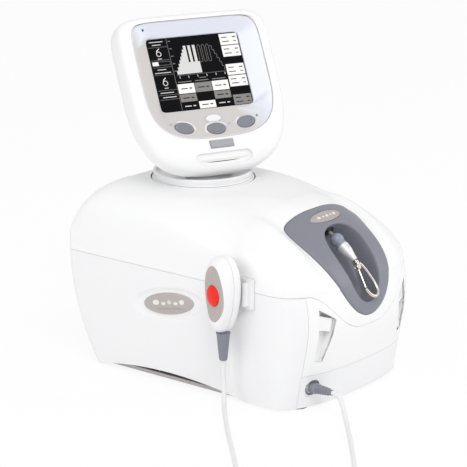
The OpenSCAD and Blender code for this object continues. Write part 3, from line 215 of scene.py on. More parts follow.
def clean(ob, smooth_angle=35.0):
    bm = bmesh.new()
    bm.from_mesh(ob.data)
    bmesh.ops.remove_doubles(bm, verts=bm.verts, dist=2e-6)
    bmesh.ops.dissolve_degenerate(bm, edges=bm.edges, dist=1e-6)
    bmesh.ops.recalc_face_normals(bm, faces=bm.faces)
    limit = math.radians(smooth_angle)
    for f in bm.faces:
        f.smooth = True
    for e in bm.edges:
        if len(e.link_faces) == 2:
            e.smooth = e.calc_face_angle(0) < limit
    bm.to_mesh(ob.data)
    bm.free()


def bake(ob, smooth_angle=35.0):
    dg = bpy.context.evaluated_depsgraph_get()
    me = bpy.data.meshes.new_from_object(ob.evaluated_get(dg))
    ob.modifiers.clear()
    ob.data = me
    clean(ob, smooth_angle)


def cut(ob, tools, smooth_angle=35.0):
    for t in tools:
        b = ob.modifiers.new("cut", "BOOLEAN")
        b.operation = "DIFFERENCE"
        b.solver = "EXACT"
        b.object = t
    bpy.context.view_layer.update()
    bake(ob, smooth_angle)
    for t in tools:
        bpy.data.objects.remove(t)


def grid_faces(rows, cols, closed=False, base=0):
    out = []
    last = cols if closed else cols - 1
    for j in range(rows - 1):
        for i in range(last):
            a, b = base + j * cols + i, base + j * cols + (i + 1) % cols
            out.append((a, b, b + cols, a + cols))
    return out


def ring_solid(name, rings, mat, cap_start=True, cap_end=True, loop=False, smooth_angle=35.0):
    rings = [np.asarray(r, float) for r in rings]
    n = len(rings[0])
    faces = grid_faces(len(rings), n, True)
    if loop:
        k = (len(rings) - 1) * n
        faces += [(k + i, k + (i + 1) % n, (i + 1) % n, i) for i in range(n)]
    else:
        if cap_start:
            faces.append(tuple(range(n))[::-1])
        if cap_end:
            faces.append(tuple((len(rings) - 1) * n + i for i in range(n)))
    return mesh_object(name, np.concatenate(rings), faces, mat, smooth_angle)


def catmull(points, sub, closed=False):
    """Points of any dimension, with sub steps between each pair."""
    p = np.asarray(points, float)
    n = len(p)
    out = []
    last = n if closed else n - 1
    for i in range(last):
        p0 = p[(i - 1) % n] if closed or i > 0 else 2 * p[0] - p[1]
        p1, p2 = p[i], p[(i + 1) % n]
        p3 = p[(i + 2) % n] if closed or i + 2 < n else 2 * p[-1] - p[-2]
        for k in range(sub):
            t = k / sub
            out.append(0.5 * (2 * p1 + (p2 - p0) * t + (2 * p0 - 5 * p1 + 4 * p2 - p3) * t * t
                              + (3 * p1 - 3 * p2 + p3 - p0) * t ** 3))
    if not closed:
        out.append(p[-1])
    return np.array(out)


def resample(loop, n, closed=True):
    p = np.asarray(loop, float)
    q = np.vstack([p, p[:1]]) if closed else p
    d = np.r_[0, np.cumsum(np.linalg.norm(np.diff(q, axis=0), axis=1))]
    t = np.linspace(0, d[-1], n, endpoint=not closed)
    return np.stack([np.interp(t, d, q[:, k]) for k in range(q.shape[1])], 1)


def lathe(name, profile, mat, place=None, n=96, smooth_angle=35.0):
    """profile is (radius, height) pairs. place turns local points into the row frame."""
    rings = []
    for r, h in profile:
        a = np.arange(n) * 2 * np.pi / n
        ring = np.stack([max(r, 1e-4) * np.cos(a), max(r, 1e-4) * np.sin(a), np.full(n, h)], 1)
        rings.append(place(ring) if place else ring)
    return ring_solid(name, rings, mat, False, False, smooth_angle=smooth_angle)


def tube(name, path, radius, mat, n=14, caps=True, smooth_angle=60.0):
    p = np.asarray(path, float)
    r = np.broadcast_to(radius, (len(p),))
    t = np.gradient(p, axis=0)
    t /= np.linalg.norm(t, axis=1)[:, None]
    u = np.cross(t[0], [0.31, 0.22, 0.93])
    u /= np.linalg.norm(u)
    rings = []
    a = np.arange(n) * 2 * np.pi / n
    for i in range(len(p)):
        u = u - t[i] * (u @ t[i])
        u /= np.linalg.norm(u)
        w = np.cross(t[i], u)
        rings.append(p[i] + r[i] * (np.cos(a)[:, None] * u + np.sin(a)[:, None] * w))
    return ring_solid(name, rings, mat, caps, caps, smooth_angle=smooth_angle)


def rounded_box(name, size, mat, place, bevel=1.0, segments=3):
    x, y, z = (s / 2 for s in size)
    pts = [(i * x, j * y, k * z) for k in (-1, 1) for j in (-1, 1) for i in (-1, 1)]
    faces = [(0, 2, 3, 1), (4, 5, 7, 6), (0, 1, 5, 4), (2, 6, 7, 3), (0, 4, 6, 2), (1, 3, 7, 5)]
    ob = mesh_object(name, place(np.array(pts, float)), faces, mat, 40)
    m = ob.modifiers.new("b", "BEVEL")
    m.width = bevel * MM
    m.segments = segments
    bpy.context.view_layer.update()
    bake(ob, 40)
    return ob


def prism(name, outline, z0, z1, place, mat, smooth_angle=35.0):
    o = np.asarray(outline, float)
    low = np.c_[o, np.full(len(o), z0)]
    top = np.c_[o, np.full(len(o), z1)]
    return ring_solid(name, [place(low), place(top)], mat, smooth_angle=smooth_angle)


def ellipse(a, b, n=72):
    t = np.arange(n) * 2 * np.pi / n
    return np.stack([a * np.cos(t), b * np.sin(t)], 1)


def join(name, obs):
    bm = bmesh.new()
    mats = []
    for o in obs:
        start = len(bm.faces)
        bm.from_mesh(o.data)
        bm.faces.ensure_lookup_table()
        table = []
        for m in o.data.materials:
            if m not in mats:
                mats.append(m)
            table.append(mats.index(m))
        for f in bm.faces[start:]:
            f.material_index = table[f.material_index] if table else 0
    me = bpy.data.meshes.new(name)
    bm.to_mesh(me)
    bm.free()
    for m in mats:
        me.materials.append(m)
    for o in obs:
        bpy.data.objects.remove(o)
    ob = bpy.data.objects.new(name, me)
    scene.collection.objects.link(ob)
    return ob


def keep(ob, body, slot, *nodes):
    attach(ob, body)
    if nodes:
        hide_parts(*nodes)
    return ob


# ---------- body form ----------
SEAM, CROWN, GAP = 131.0, 83.0, 0.4
SPINE_F, SPINE_B, CORNER, BOW = -60.0, 120.0, 9.0, 0.8
SPLIT, BAND_TOP, DIP = 91.0, 40.0, 47.0


def level(z):
    return np.minimum(z, SEAM) / SEAM


def half_w(z):
    return 108.7 + 2.6 * level(z)


def back_at(z):
    return 148 + 39 * (1 - (1 - level(z)) ** 2)


def knee_at(z):
    return -107 + 6 * level(z)


def nose_at(z):
    return -145 - 0.23 * z + 0.0052 * np.maximum(0, z - 72) ** 2


def power_at(z):
    return 2.5 + 0.5 * level(z)


def nose_y(x, z):
    """The front surface's y at (x, z)."""
    u = np.clip(np.abs(x) / half_w(z), 0, 1)
    return knee_at(z) - (knee_at(z) - nose_at(z)) * (1 - u ** power_at(z)) ** (1 / power_at(z))


def dip_z(x):
    return SEAM - DIP * np.maximum(0, 1 - (np.abs(x) / SPLIT) ** 3) ** 2.5


def ease(t):
    u = np.clip(t, 0, 1)
    return u * u * (3 - 2 * u)


def spine_h(y):
    front = (CROWN - 4) * (1 - np.clip((SPINE_F - y) / (SPINE_F - nose_at(SEAM)), 0, 1) ** 1.6) ** (1 / 1.3)
    back = CROWN * (1 - np.clip((y - SPINE_B) / (back_at(SEAM) - SPINE_B), 0, 1) ** 2.6) ** (1 / 2.6)
    mid = CROWN - 4 * ((SPINE_B - y) / (SPINE_B - SPINE_F)) ** 2
    return np.where(y < SPINE_F, front, np.where(y > SPINE_B, back, mid))


def crown_power(y):
    return 2.7 + 2.1 * ease((y + 60) / 110)


def width_at(y):
    yk = knee_at(SEAM)
    u = np.clip((yk - y) / (yk - nose_at(SEAM)), 0, 1)
    return np.maximum(0.5, half_w(SEAM) * np.maximum(0, 1 - u ** 3) ** (1 / 3))


def groove(x, y):
    a = np.abs(x)
    t = np.abs(y + 100) / 80
    o = (a - 57) / 17
    along = np.where(t < 1, 8.5 * np.cos(np.radians(90 * np.minimum(t, 1))) ** 2, 0)
    across = np.where(o < 0, (a / 57) ** 2.2, np.where(o < 1, (1 - o) ** 2 * (1 + 2 * o), 0))
    return along * across


def top_at(x, y):
    a = np.minimum(1, np.abs(x) / width_at(y))
    q = crown_power(y)
    return SEAM + spine_h(y) * np.maximum(0, 1 - a ** q) ** (1 / q) - groove(x, y) * np.minimum(1,
            4 * (1 - a))


def nose_angles(n):
    """Angles from the middle of the nose (90) to the knee (0) at even spacing along the seam."""
    a = np.radians(np.linspace(90, 0, 600))
    w, p = half_w(SEAM), 3.0
    x = w * np.cos(a) ** (2 / p)
    y = -(knee_at(SEAM) - nose_at(SEAM)) * np.sin(a) ** (2 / p)
    d = np.r_[0, np.cumsum(np.hypot(np.diff(x), np.diff(y)))]
    return np.interp(np.linspace(0, d[-1], n), d, a)


def nose_point(a, z):
    p = power_at(z)
    c, s = np.maximum(np.cos(a), 0), np.maximum(np.sin(a), 0)
    return half_w(z) * c ** (2 / p), knee_at(z) - (knee_at(z) - nose_at(z)) * s ** (2 / p)


def split_angle(x, z):
    return math.acos((x / float(half_w(z))) ** (float(power_at(z)) / 2))


def side_points(z, ys, corner_n=10, back_n=14):
    """Points (x, y) of one height, from the knee round the back corner to the middle of the back."""
    w, yb, yk = float(half_w(z)), float(back_at(z)), float(knee_at(z))
    out = [(w, yk + (yb - CORNER - yk) * t) for t in ys]
    for i in range(1, corner_n + 1):
        b = math.radians(90 * i / corner_n)
        out.append((w - CORNER + CORNER * math.cos(b), yb - CORNER + CORNER * math.sin(b)))
    for i in range(1, back_n + 1):
        u = 1 - i / back_n
        out.append(((w - CORNER) * u, yb + BOW * (1 - u * u)))
    return out


side_t = list(np.linspace(0, 1, 96))[1:]
NOSE = nose_angles(56)


def upper_half_columns():
    """The columns of the right half, as (kind, key) pairs that plan_point turns into plan points."""
    cols = [("nose", a) for a in NOSE]
    cols += [("side", k) for k in range(len(side_t) + 24)]
    return cols


def plan_point(col, z):
    kind, k = col
    if kind == "nose":
        x, y = nose_point(k, z)
        return float(x), float(y)
    return SIDE_AT_SEAM[k]


SIDE_AT_SEAM = side_points(SEAM, side_t)


def crown_point(x, y, r):
    s = np.array([0.0, min(SPINE_B, max(SPINE_F, y))])
    q = np.array([x, y]) + (s - np.array([x, y])) * r
    return q[0], q[1]


def make_upper():
    rows_wall, rows_crown = 10, 56
    half = []
    for col in upper_half_columns():
        z0 = SEAM
        if col[0] == "nose":
            for _ in range(8):
                z0 = float(dip_z(plan_point(col, z0)[0]))
        z0 = min(z0, SEAM) + GAP / 2
        column = []
        top = max(z0, SEAM)
        for j in range(rows_wall):
            z = z0 + (top - z0) * j / (rows_wall - 1) + 1e-4 * j
            x, y = plan_point(col, z)
            column.append((x, y, z))
        x0, y0 = plan_point(col, SEAM)
        for k in range(1, rows_crown + 1):
            r = 1 - math.cos(math.radians(90 * k / rows_crown)) ** (2 / 3.6)
            qx, qy = crown_point(x0, y0, min(r, 1.0))
            z = float(top_at(np.array(qx), np.array(qy)))
            column.append((qx, qy, max(z, top + 0.01)))
        half.append(column)
    cols = half + [[(-x, y, z) for x, y, z in c] for c in half[-2:0:-1]]
    n, rows = len(cols), len(cols[0])
    pts = [cols[i][j] for j in range(rows) for i in range(n)]
    return mesh_object("housing_upper", pts, grid_faces(rows, n, True), WHITE, 30)


def dish_depth(y, z):
    """Soft oval dish in the side wall."""
    c, s = math.cos(math.radians(11)), math.sin(math.radians(11))
    f, v = -(y - 34), z - 94
    e = ((f * c + v * s) / 53) ** 2 + ((-f * s + v * c) / 18) ** 2
    return 1.6 * ease((1 - e) / 0.16)


def scallop_z(y):
    r = (114 ** 2 + 12 ** 2) / 24
    return np.maximum(2, 12 - r + np.sqrt(np.maximum(0, r * r - (y - 30) ** 2)))


def lower_columns():
    rows = 62
    table = [np.array(side_points(z, side_t)) for z in np.linspace(2, SEAM, 131)]
    zs = np.linspace(2, SEAM, 131)
    half = []
    for k in np.linspace(0, 1, 14):
        column = []
        for z in np.linspace(2, SEAM - GAP / 2, rows):
            a = split_angle(SPLIT + 0.25, z) * (1 - k)
            x, y = nose_point(a, z)
            column.append((float(x), float(y), float(z)))
        half.append(column)
    for k in range(len(table[0])):
        xs, ys = np.array([t[k][0] for t in table]), np.array([t[k][1] for t in table])
        side = k < len(side_t)
        low = float(scallop_z(ys[0])) if side else 2.0
        column = []
        for z in np.linspace(low, SEAM - GAP / 2, rows):
            x, y = float(np.interp(z, zs, xs)), float(np.interp(z, zs, ys))
            if side:
                x -= float(dish_depth(y, z))
            column.append((x, y, float(z)))
        half.append(column)
    return half + [[(-x, y, z) for x, y, z in c] for c in half[-2::-1]]


def thicken(ob, thick):
    m = ob.modifiers.new("s", "SOLIDIFY")
    m.thickness = thick * MM
    m.offset = -1
    m.use_even_offset = False
    bpy.context.view_layer.update()
    bake(ob, 35)
    return ob


def outward(ob, inside=(0.0, 0.0, 0.09)):
    """Makes an open surface's normals point away from a point inside the body."""
    bm = bmesh.new()
    bm.from_mesh(ob.data)
    c = Vector(inside)
    score = sum((f.calc_center_median() - c).dot(f.normal) * f.calc_area() for f in bm.faces)
    if score < 0:
        bmesh.ops.reverse_faces(bm, faces=bm.faces)
    bm.to_mesh(ob.data)
    bm.free()
    return ob


# ---------- rope bezel form ----------
SLOPE = math.radians(53.9)
BEZ_EDGE = [(0, 0), (12, 1.8), (26, 9), (38.5, 23), (48, 43), (53.5, 64), (57, 84), (60, 103), (59.5, 115),
            (54, 124), (42, 129), (22, 132)]
CAV_EDGE = [(0, 12.5), (8, 14), (16, 19.5), (22, 29), (26, 42), (28.5, 56), (29.5, 70), (29, 82),
            (25.5, 93),
            (19, 100), (10, 104)]


def closed_half(half, top):
    p = list(half) + [top] + [(-x, y) for x, y in half[:0:-1]]
    return resample(catmull(p, 8, True), 176)


BEZ = closed_half(BEZ_EDGE, (0, 132.4))
CAV = closed_half(CAV_EDGE, (0, 105))


def bez_pt(u, v, h):
    return np.stack([u, -164 + v * math.cos(SLOPE) - h * math.sin(SLOPE),
                     95 + v * math.sin(SLOPE) + h * math.cos(SLOPE)], -1)


def in_body(p):
    x, y, z = p[..., 0], p[..., 1], p[..., 2]
    yk = knee_at(z)
    u = np.maximum(0, (yk - y) / (yk - nose_at(z)))
    low = (np.abs(x) / half_w(z)) ** power_at(z) + u ** power_at(z) < 1
    return np.where(z > SEAM, z < top_at(x, y), low)


def face_h(u, v):
    lo, hi = np.full(np.shape(u), -25.0), np.full(np.shape(u), 40.0)
    for _ in range(22):
        m = (lo + hi) / 2
        inside = in_body(bez_pt(u, v, m))
        lo, hi = np.where(inside, m, lo), np.where(inside, hi, m)
    return (lo + hi) / 2


BEZ_MID, CAV_MID = np.array([0.0, 62.0]), np.array([0.0, 66.0])


def bez_ring(loop, k, h):
    q = BEZ_MID + (loop - BEZ_MID) * k
    return bez_pt(q[:, 0], q[:, 1], face_h(q[:, 0], q[:, 1]) + h)


def cav_ring(k, depth):
    q = CAV_MID + (CAV - CAV_MID) * k
    rim = 15.5 - 13 * ((q[:, 1] - 58) / 70) ** 2
    return bez_pt(q[:, 0], q[:, 1], rim - depth)


def spline_rings(rings, sub):
    r = np.array(rings)
    return list(catmull(r.reshape(len(r), -1), sub).reshape(-1, *r.shape[1:]))


def bezel_tool(name, grow):
    d = BEZ - BEZ_MID
    q = BEZ + d / np.linalg.norm(d, axis=1)[:, None] * grow
    return ring_solid(name, [bez_pt(q[:, 0], q[:, 1], np.full(len(q), h)) for h in (-40.0, 60.0)], SLATE)


# ---------- frames of the head, rope and hook ----------
PIVOT_Y, PIVOT_Z = 75, 255        # the tilt pin's middle
LCD_UP, LCD_OUT = 71.6, 33        # the window's centre from the tilt pin
HEAD_UP, HEAD_TURN = math.radians(60), math.radians(-24)


def head(points):
    p = np.atleast_2d(np.asarray(points, float))
    x, y, z = p[:, 0], p[:, 1] + LCD_UP, p[:, 2] + LCD_OUT
    c, s = math.cos(HEAD_UP), math.sin(HEAD_UP)
    y, z = y * c - z * s, y * s + z * c
    c, s = math.cos(HEAD_TURN), math.sin(HEAD_TURN)
    return np.stack([x * c - y * s, PIVOT_Y + x * s + y * c, PIVOT_Z + z], 1)


def slope_frame(origin, slope):
    """A frame whose z runs down and forward, slope degrees below level."""
    a = math.radians(90 + slope)
    c, s = math.cos(a), math.sin(a)

    def place(points):
        p = np.atleast_2d(np.asarray(points, float))
        return np.stack([p[:, 0], origin[1] + p[:, 1] * c - p[:, 2] * s,
                         origin[2] + p[:, 1] * s + p[:, 2] * c], 1)
    return place


ROPE_Y, ROPE_Z, ROPE_SLOPE, HOOK_SLOPE, HOOK_AT = -106, 179, 36, 52, 45
on_rope = slope_frame((0, ROPE_Y, ROPE_Z), ROPE_SLOPE)
on_hook = slope_frame((0, ROPE_Y - HOOK_AT * math.cos(math.radians(ROPE_SLOPE)),
                       ROPE_Z - HOOK_AT * math.sin(math.radians(ROPE_SLOPE))), HOOK_SLOPE)


def signed_pow(v, p):
    return np.sign(v) * np.abs(v) ** p


def even_angles(n, a, up, down, pu, pd):
    t = np.linspace(0, 2 * np.pi, 8001)[:-1]
    p = np.where(np.sin(t) > 0, pu, pd)
    x = a * signed_pow(np.cos(t), 2 / p)
    y = np.where(np.sin(t) > 0, up, down) * signed_pow(np.sin(t), 2 / p)
    d = np.r_[0, np.cumsum(np.hypot(np.diff(x), np.diff(y)))]
    return np.interp(np.linspace(0, d[-1], n, endpoint=False), d, t)


HEAD_T = even_angles(240, 94, 79.5, 110, 8, 3.1)


def lobed(a, up, down, pu, pd, z, t=None):
    t = HEAD_T if t is None else t
    s = np.sin(t)
    p = np.where(s > 0, pu, pd)
    return np.stack([a * signed_pow(np.cos(t), 2 / p),
                     -10 + np.where(s > 0, up, down) * signed_pow(s, 2 / p),
                     np.full(len(t), float(z))], 1)


def head_ring(inset, drop, z):
    """Drawn 0.7 mm shorter below than the CAD's coarser ring, as its finer curve met the collar at full tilt."""
    return lobed(94 - inset, 79.5 - inset, 109.3 - inset - drop, 8, 3.1, z)


def mouth_ring(inset, z):
    return lobed(80.5 - inset, 72 - inset, 72 - inset, 8, 3.2, z)




# ---------- build: body shells ----------
upper = outward(make_upper(), (0, 0, 0.12))
thicken(upper, 2.5)
tools = [bezel_tool("t_bezel", 0.5),
         prism("t_neck", ellipse(60.5, 60.5, 96) + [0, 75], 180, 260, lambda p: p, WHITE)]


def stadium(length, width, n=20):
    out = []
    for s in (1, -1):
        for i in range(n + 1):
            a = math.radians(180 * i / n - 90)
            out.append((s * ((length - width) / 2 + width / 2 * math.cos(a)), s * width / 2 * math.sin(a)))
    return np.array(out)


def latch_outline(side):
    """Corners of the latch recess in front view, as (x, z)."""
    return np.array([(side * 81.0, 57), (side * 70.0, 54), (side * 57.0, 102), (side * 79.0, 116)])


def to_front(p):
    """Turns an outline in x and z, with its depth along -Y, into row points."""
    return np.stack([p[:, 0], -p[:, 2], p[:, 1]], 1)


tools.append(prism("t_handle", stadium(100.6, 22.6) + [0, 149], 172.5, 262, lambda p: p, WHITE))
tools += [prism("t_latch", latch_outline(s), 120, 200, to_front, WHITE) for s in (-1, 1)]
cut(upper, tools, 30)
keep(upper, "base", "shell_white", "upper_shell")

cols = lower_columns()
n, rows = len(cols), len(cols[0])
lower = mesh_object("housing_lower", [cols[i][j] for j in range(rows) for i in range(n)],
                    grid_faces(rows, n), WHITE_LOW, 30)
outward(lower, (0, 0.02, 0.06))
thicken(lower, 2.5)
keep(lower, "base", "shell_white", "lower_housing")


def front_skin(name, z_low, z_high, mat, x_split=SPLIT, na=90, nz=26):
    """Part of the nose between two heights; z_high may follow the dip."""
    columns = []
    for i in range(na):
        x = x_split * math.sin(math.radians(90) * (-1 + 2 * i / (na - 1)))
        top = float(z_high(x)) if callable(z_high) else z_high
        columns.append([(x, float(nose_y(x, z)), float(z)) for z in np.linspace(z_low, top, nz)])
    ob = mesh_object(name, [columns[i][j] for j in range(nz) for i in range(na)], grid_faces(nz, na), mat,
                     30)
    outward(ob, (0, 0, 0.06))
    return thicken(ob, 2.4)


panel = front_skin("front_cover", BAND_TOP + GAP / 2, lambda x: dip_z(x) - GAP / 2, WHITE)
tools = [bezel_tool("t_bezel", 0.5)]
tools += [prism("t_latch", latch_outline(s), 120, 200, to_front, WHITE) for s in (-1, 1)]
cut(panel, tools, 30)
walls = []
for s in (-1, 1):
    prt = latch_outline(s)
    mid = prt.mean(0)
    ring = resample(prt, 80)
    if s > 0:
        ring = ring[::-1]
    lip = np.stack([ring[:, 0], nose_y(ring[:, 0], ring[:, 1]) + 0.3, ring[:, 1]], 1)
    deep = np.stack([ring[:, 0], np.full(len(ring), -147.0), ring[:, 1]], 1)
    inner = mid + (ring - mid) * 0.02
    deep2 = np.stack([inner[:, 0], np.full(len(ring), -147.0), inner[:, 1]], 1)
    back2 = np.stack([inner[:, 0], np.full(len(ring), -144.6), inner[:, 1]], 1)
    out = mid + (ring - mid) * 1.04
    back = np.stack([out[:, 0], np.full(len(ring), -144.6), out[:, 1]], 1)
    lipb = np.stack([out[:, 0], nose_y(ring[:, 0], ring[:, 1]) + 1.6, out[:, 1]], 1)
    walls.append(ring_solid("recess", [deep2, deep, lip, lipb, back, back2], WHITE, loop=True))
panel = join("front_cover_piece", [panel] + walls)
keep(panel, "base", "shell_white", "front_panel")

band = front_skin("front_skirt", 2.0, BAND_TOP - GAP / 2, WHITE_LOW, nz=16)
sock = prism("t_socket", ellipse(9, 9, 64) + [-76, 25], 120, 170, to_front, WHITE)
cut(band, [sock], 30)
cup = []
for r, y in ((9.0, -146.5), (9.0, -134.5), (6.6, -134.5), (6.6, -132.5), (11.0, -132.5), (11.0, -141.0)):
    e = ellipse(r, r, 64) + [-76, 25]
    if y == -146.5:
        yy = nose_y(e[:, 0], e[:, 1]) + 0.2
    else:
        yy = np.full(len(e), y)
    cup.append(np.stack([e[:, 0], yy, e[:, 1]], 1))
band = join("front_skirt_piece", [band, ring_solid("socket_cup", cup, WHITE_LOW, loop=True)])
keep(band, "base", "shell_white", "front_band")

# ---------- rope bezel ----------
outer = [cav_ring(0.06, 27.2), cav_ring(0.35, 27), cav_ring(0.7, 26), cav_ring(0.86, 22),
         cav_ring(0.95, 10)]
outer = spline_rings(outer, 4)
lip = spline_rings([cav_ring(0.95, 10), bez_ring(CAV, 1.0, -1.5), bez_ring(CAV, 1.015, 0.6),
                    bez_ring(CAV, 1.05, 2.0),
                    bez_ring(CAV, 1.12, 2.25)], 4)
face = [bez_ring(CAV + (BEZ - CAV) * t, 1.0, 2.25) for t in (0.35, 0.6, 0.8)]
edge = spline_rings([bez_ring(BEZ, 0.965, 2.1), bez_ring(BEZ, 0.985, 1.7), bez_ring(BEZ, 0.997, 0.9),
                     bez_ring(BEZ, 1.0, -0.4)], 3)
back = [bez_ring(BEZ, 1.0, -5), bez_ring(BEZ, 0.93, -5), bez_ring(CAV, 1.14, -6), cav_ring(1.05, 12),
        cav_ring(0.96, 24),
        cav_ring(0.8, 29), cav_ring(0.4, 30), cav_ring(0.06, 30)]
rope_bezel = ring_solid("rope_surround", outer + lip[1:] + face + edge + back, SLATE, smooth_angle=40)
be = ellipse(26.3, 7.3, 72)
tools = [prism("t_rope", ellipse(6, 6, 48), -60, 10, on_rope, SLATE)]
q = be + [0, 118]
fh = face_h(q[:, 0], q[:, 1])
tools.append(ring_solid("t_badge", [bez_pt(q[:, 0], q[:, 1], fh + 0.4), bez_pt(q[:, 0], q[:, 1], fh + 9)],
                        SLATE))
cut(rope_bezel, tools, 40)
keep(rope_bezel, "base", "slate_plastic", "rope_bezel")


def on_face(loop, h):
    return bez_pt(loop[:, 0], loop[:, 1], face_h(loop[:, 0], loop[:, 1]) + h)


def badge_on_bezel(k, h):
    return on_face(ellipse(26 * k, 7 * k, 96) + [0, 118], h)


badge = ring_solid("bezel_badge_body",
                   [badge_on_bezel(0.02, 0.6), badge_on_bezel(1, 0.5), badge_on_bezel(1, 1.8),
                                         badge_on_bezel(0.985, 2.3), badge_on_bezel(0.95, 2.6),
                                         badge_on_bezel(0.5, 2.75),
                                         badge_on_bezel(0.02, 2.8)], BADGE, smooth_angle=40)
marks = []
for i, (x, w) in enumerate(((-13.5, 5.0), (-6.0, 3.2), (0.5, 4.4), (7.0, 3.2), (13.5, 5.0))):
    o = stadium(w, 2.0 if i % 2 else 3.4, 8) + [x, 118]
    marks.append(ring_solid("mark", [on_face(o, 2.3), on_face(o, 2.95)], BADGE_LIGHT))
badge = join("bezel_badge_piece", [badge] + marks)
keep(badge, "base", "badge_metal", "bezel_badge")

# ---------- side badges ----------
for s, label in ((-1, "left"), (1, "right")):
    def on_side(p, s=s):
        p = np.atleast_2d(np.asarray(p, float))
        a = math.radians(-11)
        y0, z0 = 34.0, 94.0
        u, v = p[:, 0], p[:, 1]
        y = y0 + u * math.cos(a) - v * math.sin(a)
        z = z0 + u * math.sin(a) + v * math.cos(a)
        return np.stack([s * (half_w(np.array(94.0)) - 1.6 + p[:, 2]), y, z], 1)
    rings = []
    for k, h in ((0.02, 0.0), (1.0, 0.0), (1.0, 0.75), (0.985, 1.05), (0.95, 1.28), (0.5, 1.3),
                 (0.02, 1.3)):
        rings.append(on_side(np.c_[ellipse(37 * k, 12.5 * k, 96), np.full(96, h)]))
    parts = [ring_solid("side_badge", rings, BADGE, smooth_angle=40)]
    for x, w, h in ((-20, 7, 5.5), (-10.5, 6, 3.4), (-1.5, 5, 5.5), (7.5, 6, 3.4), (18.5, 9, 5.5)):
        o = stadium(w, h, 8) + [x, 1.5 if h > 4 else 0]
        parts.append(prism("mark", o, 1.2, 1.38, on_side, BADGE_LIGHT))
    parts.append(prism("line", stadium(38, 1.2, 8) + [0, -6], 1.2, 1.36, on_side, BADGE_DARK))
    keep(join("side_badge_" + label + "_piece", parts), "base", "badge_metal", "side_badge_" + label)

# ---------- head ----------
rings = spline_rings([mouth_ring(0, 10.6), mouth_ring(-0.35, 11.4), mouth_ring(-1.2, 11.8)], 3)
rings += spline_rings([mouth_ring(-2.0, 12.05), head_ring(9, 12, 12.4), head_ring(6.2, 10.2, 11.9),
                       head_ring(4, 8, 10.8),
                       head_ring(1.2, 3.5, 6.5), head_ring(0.2, 1.0, 1.5), head_ring(0, 0.2, -5)], 4)
rings += [head_ring(0, 0, -14.8), head_ring(2.5, 0, -14.8), head_ring(2.5, 0.5, -1), head_ring(6, 6, 6.5),
          mouth_ring(-3, 7.6),
          mouth_ring(0, 7.6)]
front = ring_solid("head_front_body", [head(r) for r in rings], WHITE, loop=True, smooth_angle=32)


def tipped(v, tip):
    a = math.radians(tip)

    def place(p):
        p = np.atleast_2d(p)
        return head(np.stack([p[:, 0], v + p[:, 1] * math.cos(a) - p[:, 2] * math.sin(a),
                              p[:, 1] * math.sin(a) + p[:, 2] * math.cos(a)], 1))
    return place


rect = np.array([(-14.8, -4.8), (14.8, -4.8), (14.8, 4.8), (-14.8, 4.8)])
cut(front, [prism("t_slot", stadium(72, 15), 7.5, 37.5, tipped(-102, 24), WHITE),
            prism("t_tab", rect, 0, 60, tipped(-90, 0), WHITE)], 32)
floor_ = prism("slot_floor", stadium(74, 17), 5.6, 7.4, tipped(-102, 24), HALO)
cut(floor_, [prism("t_line", np.array([(-27, -4.6), (27, -4.6), (27, -3.4), (-27, -3.4)]), -30, 30,
                   tipped(-102, 24), WHITE)], 32)
# Painted shade: a dark sheet under the slit in the slot floor, so the slit looks like a shadowed gap.
shade_sheet = prism("slot_shade_sheet", np.array([(-28, -5.4), (28, -5.4), (28, -2.6), (-28, -2.6)]), 4.6, 5.5,
              tipped(-102, 24), SLOT_SHADE)
keep(join("head_front_piece", [front, floor_, shade_sheet]), "head", "shell_white", "head_front_housing")

rings = [head_ring(38 + 2.5, 50, -47.5), head_ring(26 + 2.5, 42, -43.5), head_ring(14.5, 27, -34),
         head_ring(5.5, 10, -24),
         head_ring(2.5, 2, -15.2)]
rings += spline_rings([head_ring(0, 2, -15.2), head_ring(0.8, 4.5, -19), head_ring(3, 10, -24),
                       head_ring(12, 27, -36),
                       head_ring(26, 42, -46), head_ring(38, 50, -50)], 5)
rear = ring_solid("head_rear_body", [head(r) for r in rings], WHITE, smooth_angle=32)


def pivot(p):
    p = np.atleast_2d(p)
    c, s = math.cos(-HEAD_UP), math.sin(-HEAD_UP)
    y, z = p[:, 1] * c - p[:, 2] * s, p[:, 1] * s + p[:, 2] * c
    return head(np.stack([p[:, 0], -LCD_UP + y, -LCD_OUT + z], 1))


tools = [prism("t_barrel", ellipse(14, 14, 64), -35, 35,
               lambda p: pivot(np.stack([p[:, 2], p[:, 0], p[:, 1]], 1)), WHITE),
         prism("t_foot", [(-35, -34), (35, -34), (35, 34), (-35, 34)], -60, 0.5, pivot, WHITE)]
for i in range(-4, 5):
    tools.append(prism("t_vent", stadium(26, 4, 8)[:, ::-1] + [9 * i, 33], -60, -30, head, WHITE))
cut(rear, tools, 32)
keep(rear, "head", "shell_white", "head_rear_housing")

# Screen surround, sloping from the housing's mouth to the window.
WIN_T = even_angles(240, 58.5, 44, 44, 24, 24)


def window(g, z):
    r = lobed(58.5 + g, 44 + g, 44 + g, 24, 24, z, WIN_T)
    r[:, 1] += 10
    return r


rings = [mouth_ring(0.4, 9.8), mouth_ring(1.4, 10.3), mouth_ring(2.4, 10.0)]
for t in (0.15, 0.3, 0.5, 0.7, 0.85):
    rings.append(mouth_ring(2.4, 10) * (1 - t) + window(1, 1.2) * t)
rings += [window(1, 1.2), window(0.4, 0.9), window(0, 0.2), window(0, -1.2), window(5, -1.2),
          mouth_ring(5, 6.4),
          mouth_ring(-1.2, 6.6), mouth_ring(-1.2, 7.5), mouth_ring(0.4, 7.5)]
surround = ring_solid("screen_surround_body", [head(r) for r in rings], FRAME_GREY, loop=True,
                      smooth_angle=32)
KEYS = [(-39, -66.5, -12, "key_stop"), (0, -71, 0, "key_pause"), (39, -66.5, 12, "key_start")]
LEDS = [(-54, -60.5), (18, -66), (54, -60.5), (-62, 53)]


def turned(loop, x, y, deg):
    a = math.radians(deg)
    return np.stack([x + loop[:, 0] * math.cos(a) - loop[:, 1] * math.sin(a),
                     y + loop[:, 0] * math.sin(a) + loop[:, 1] * math.cos(a)], 1)


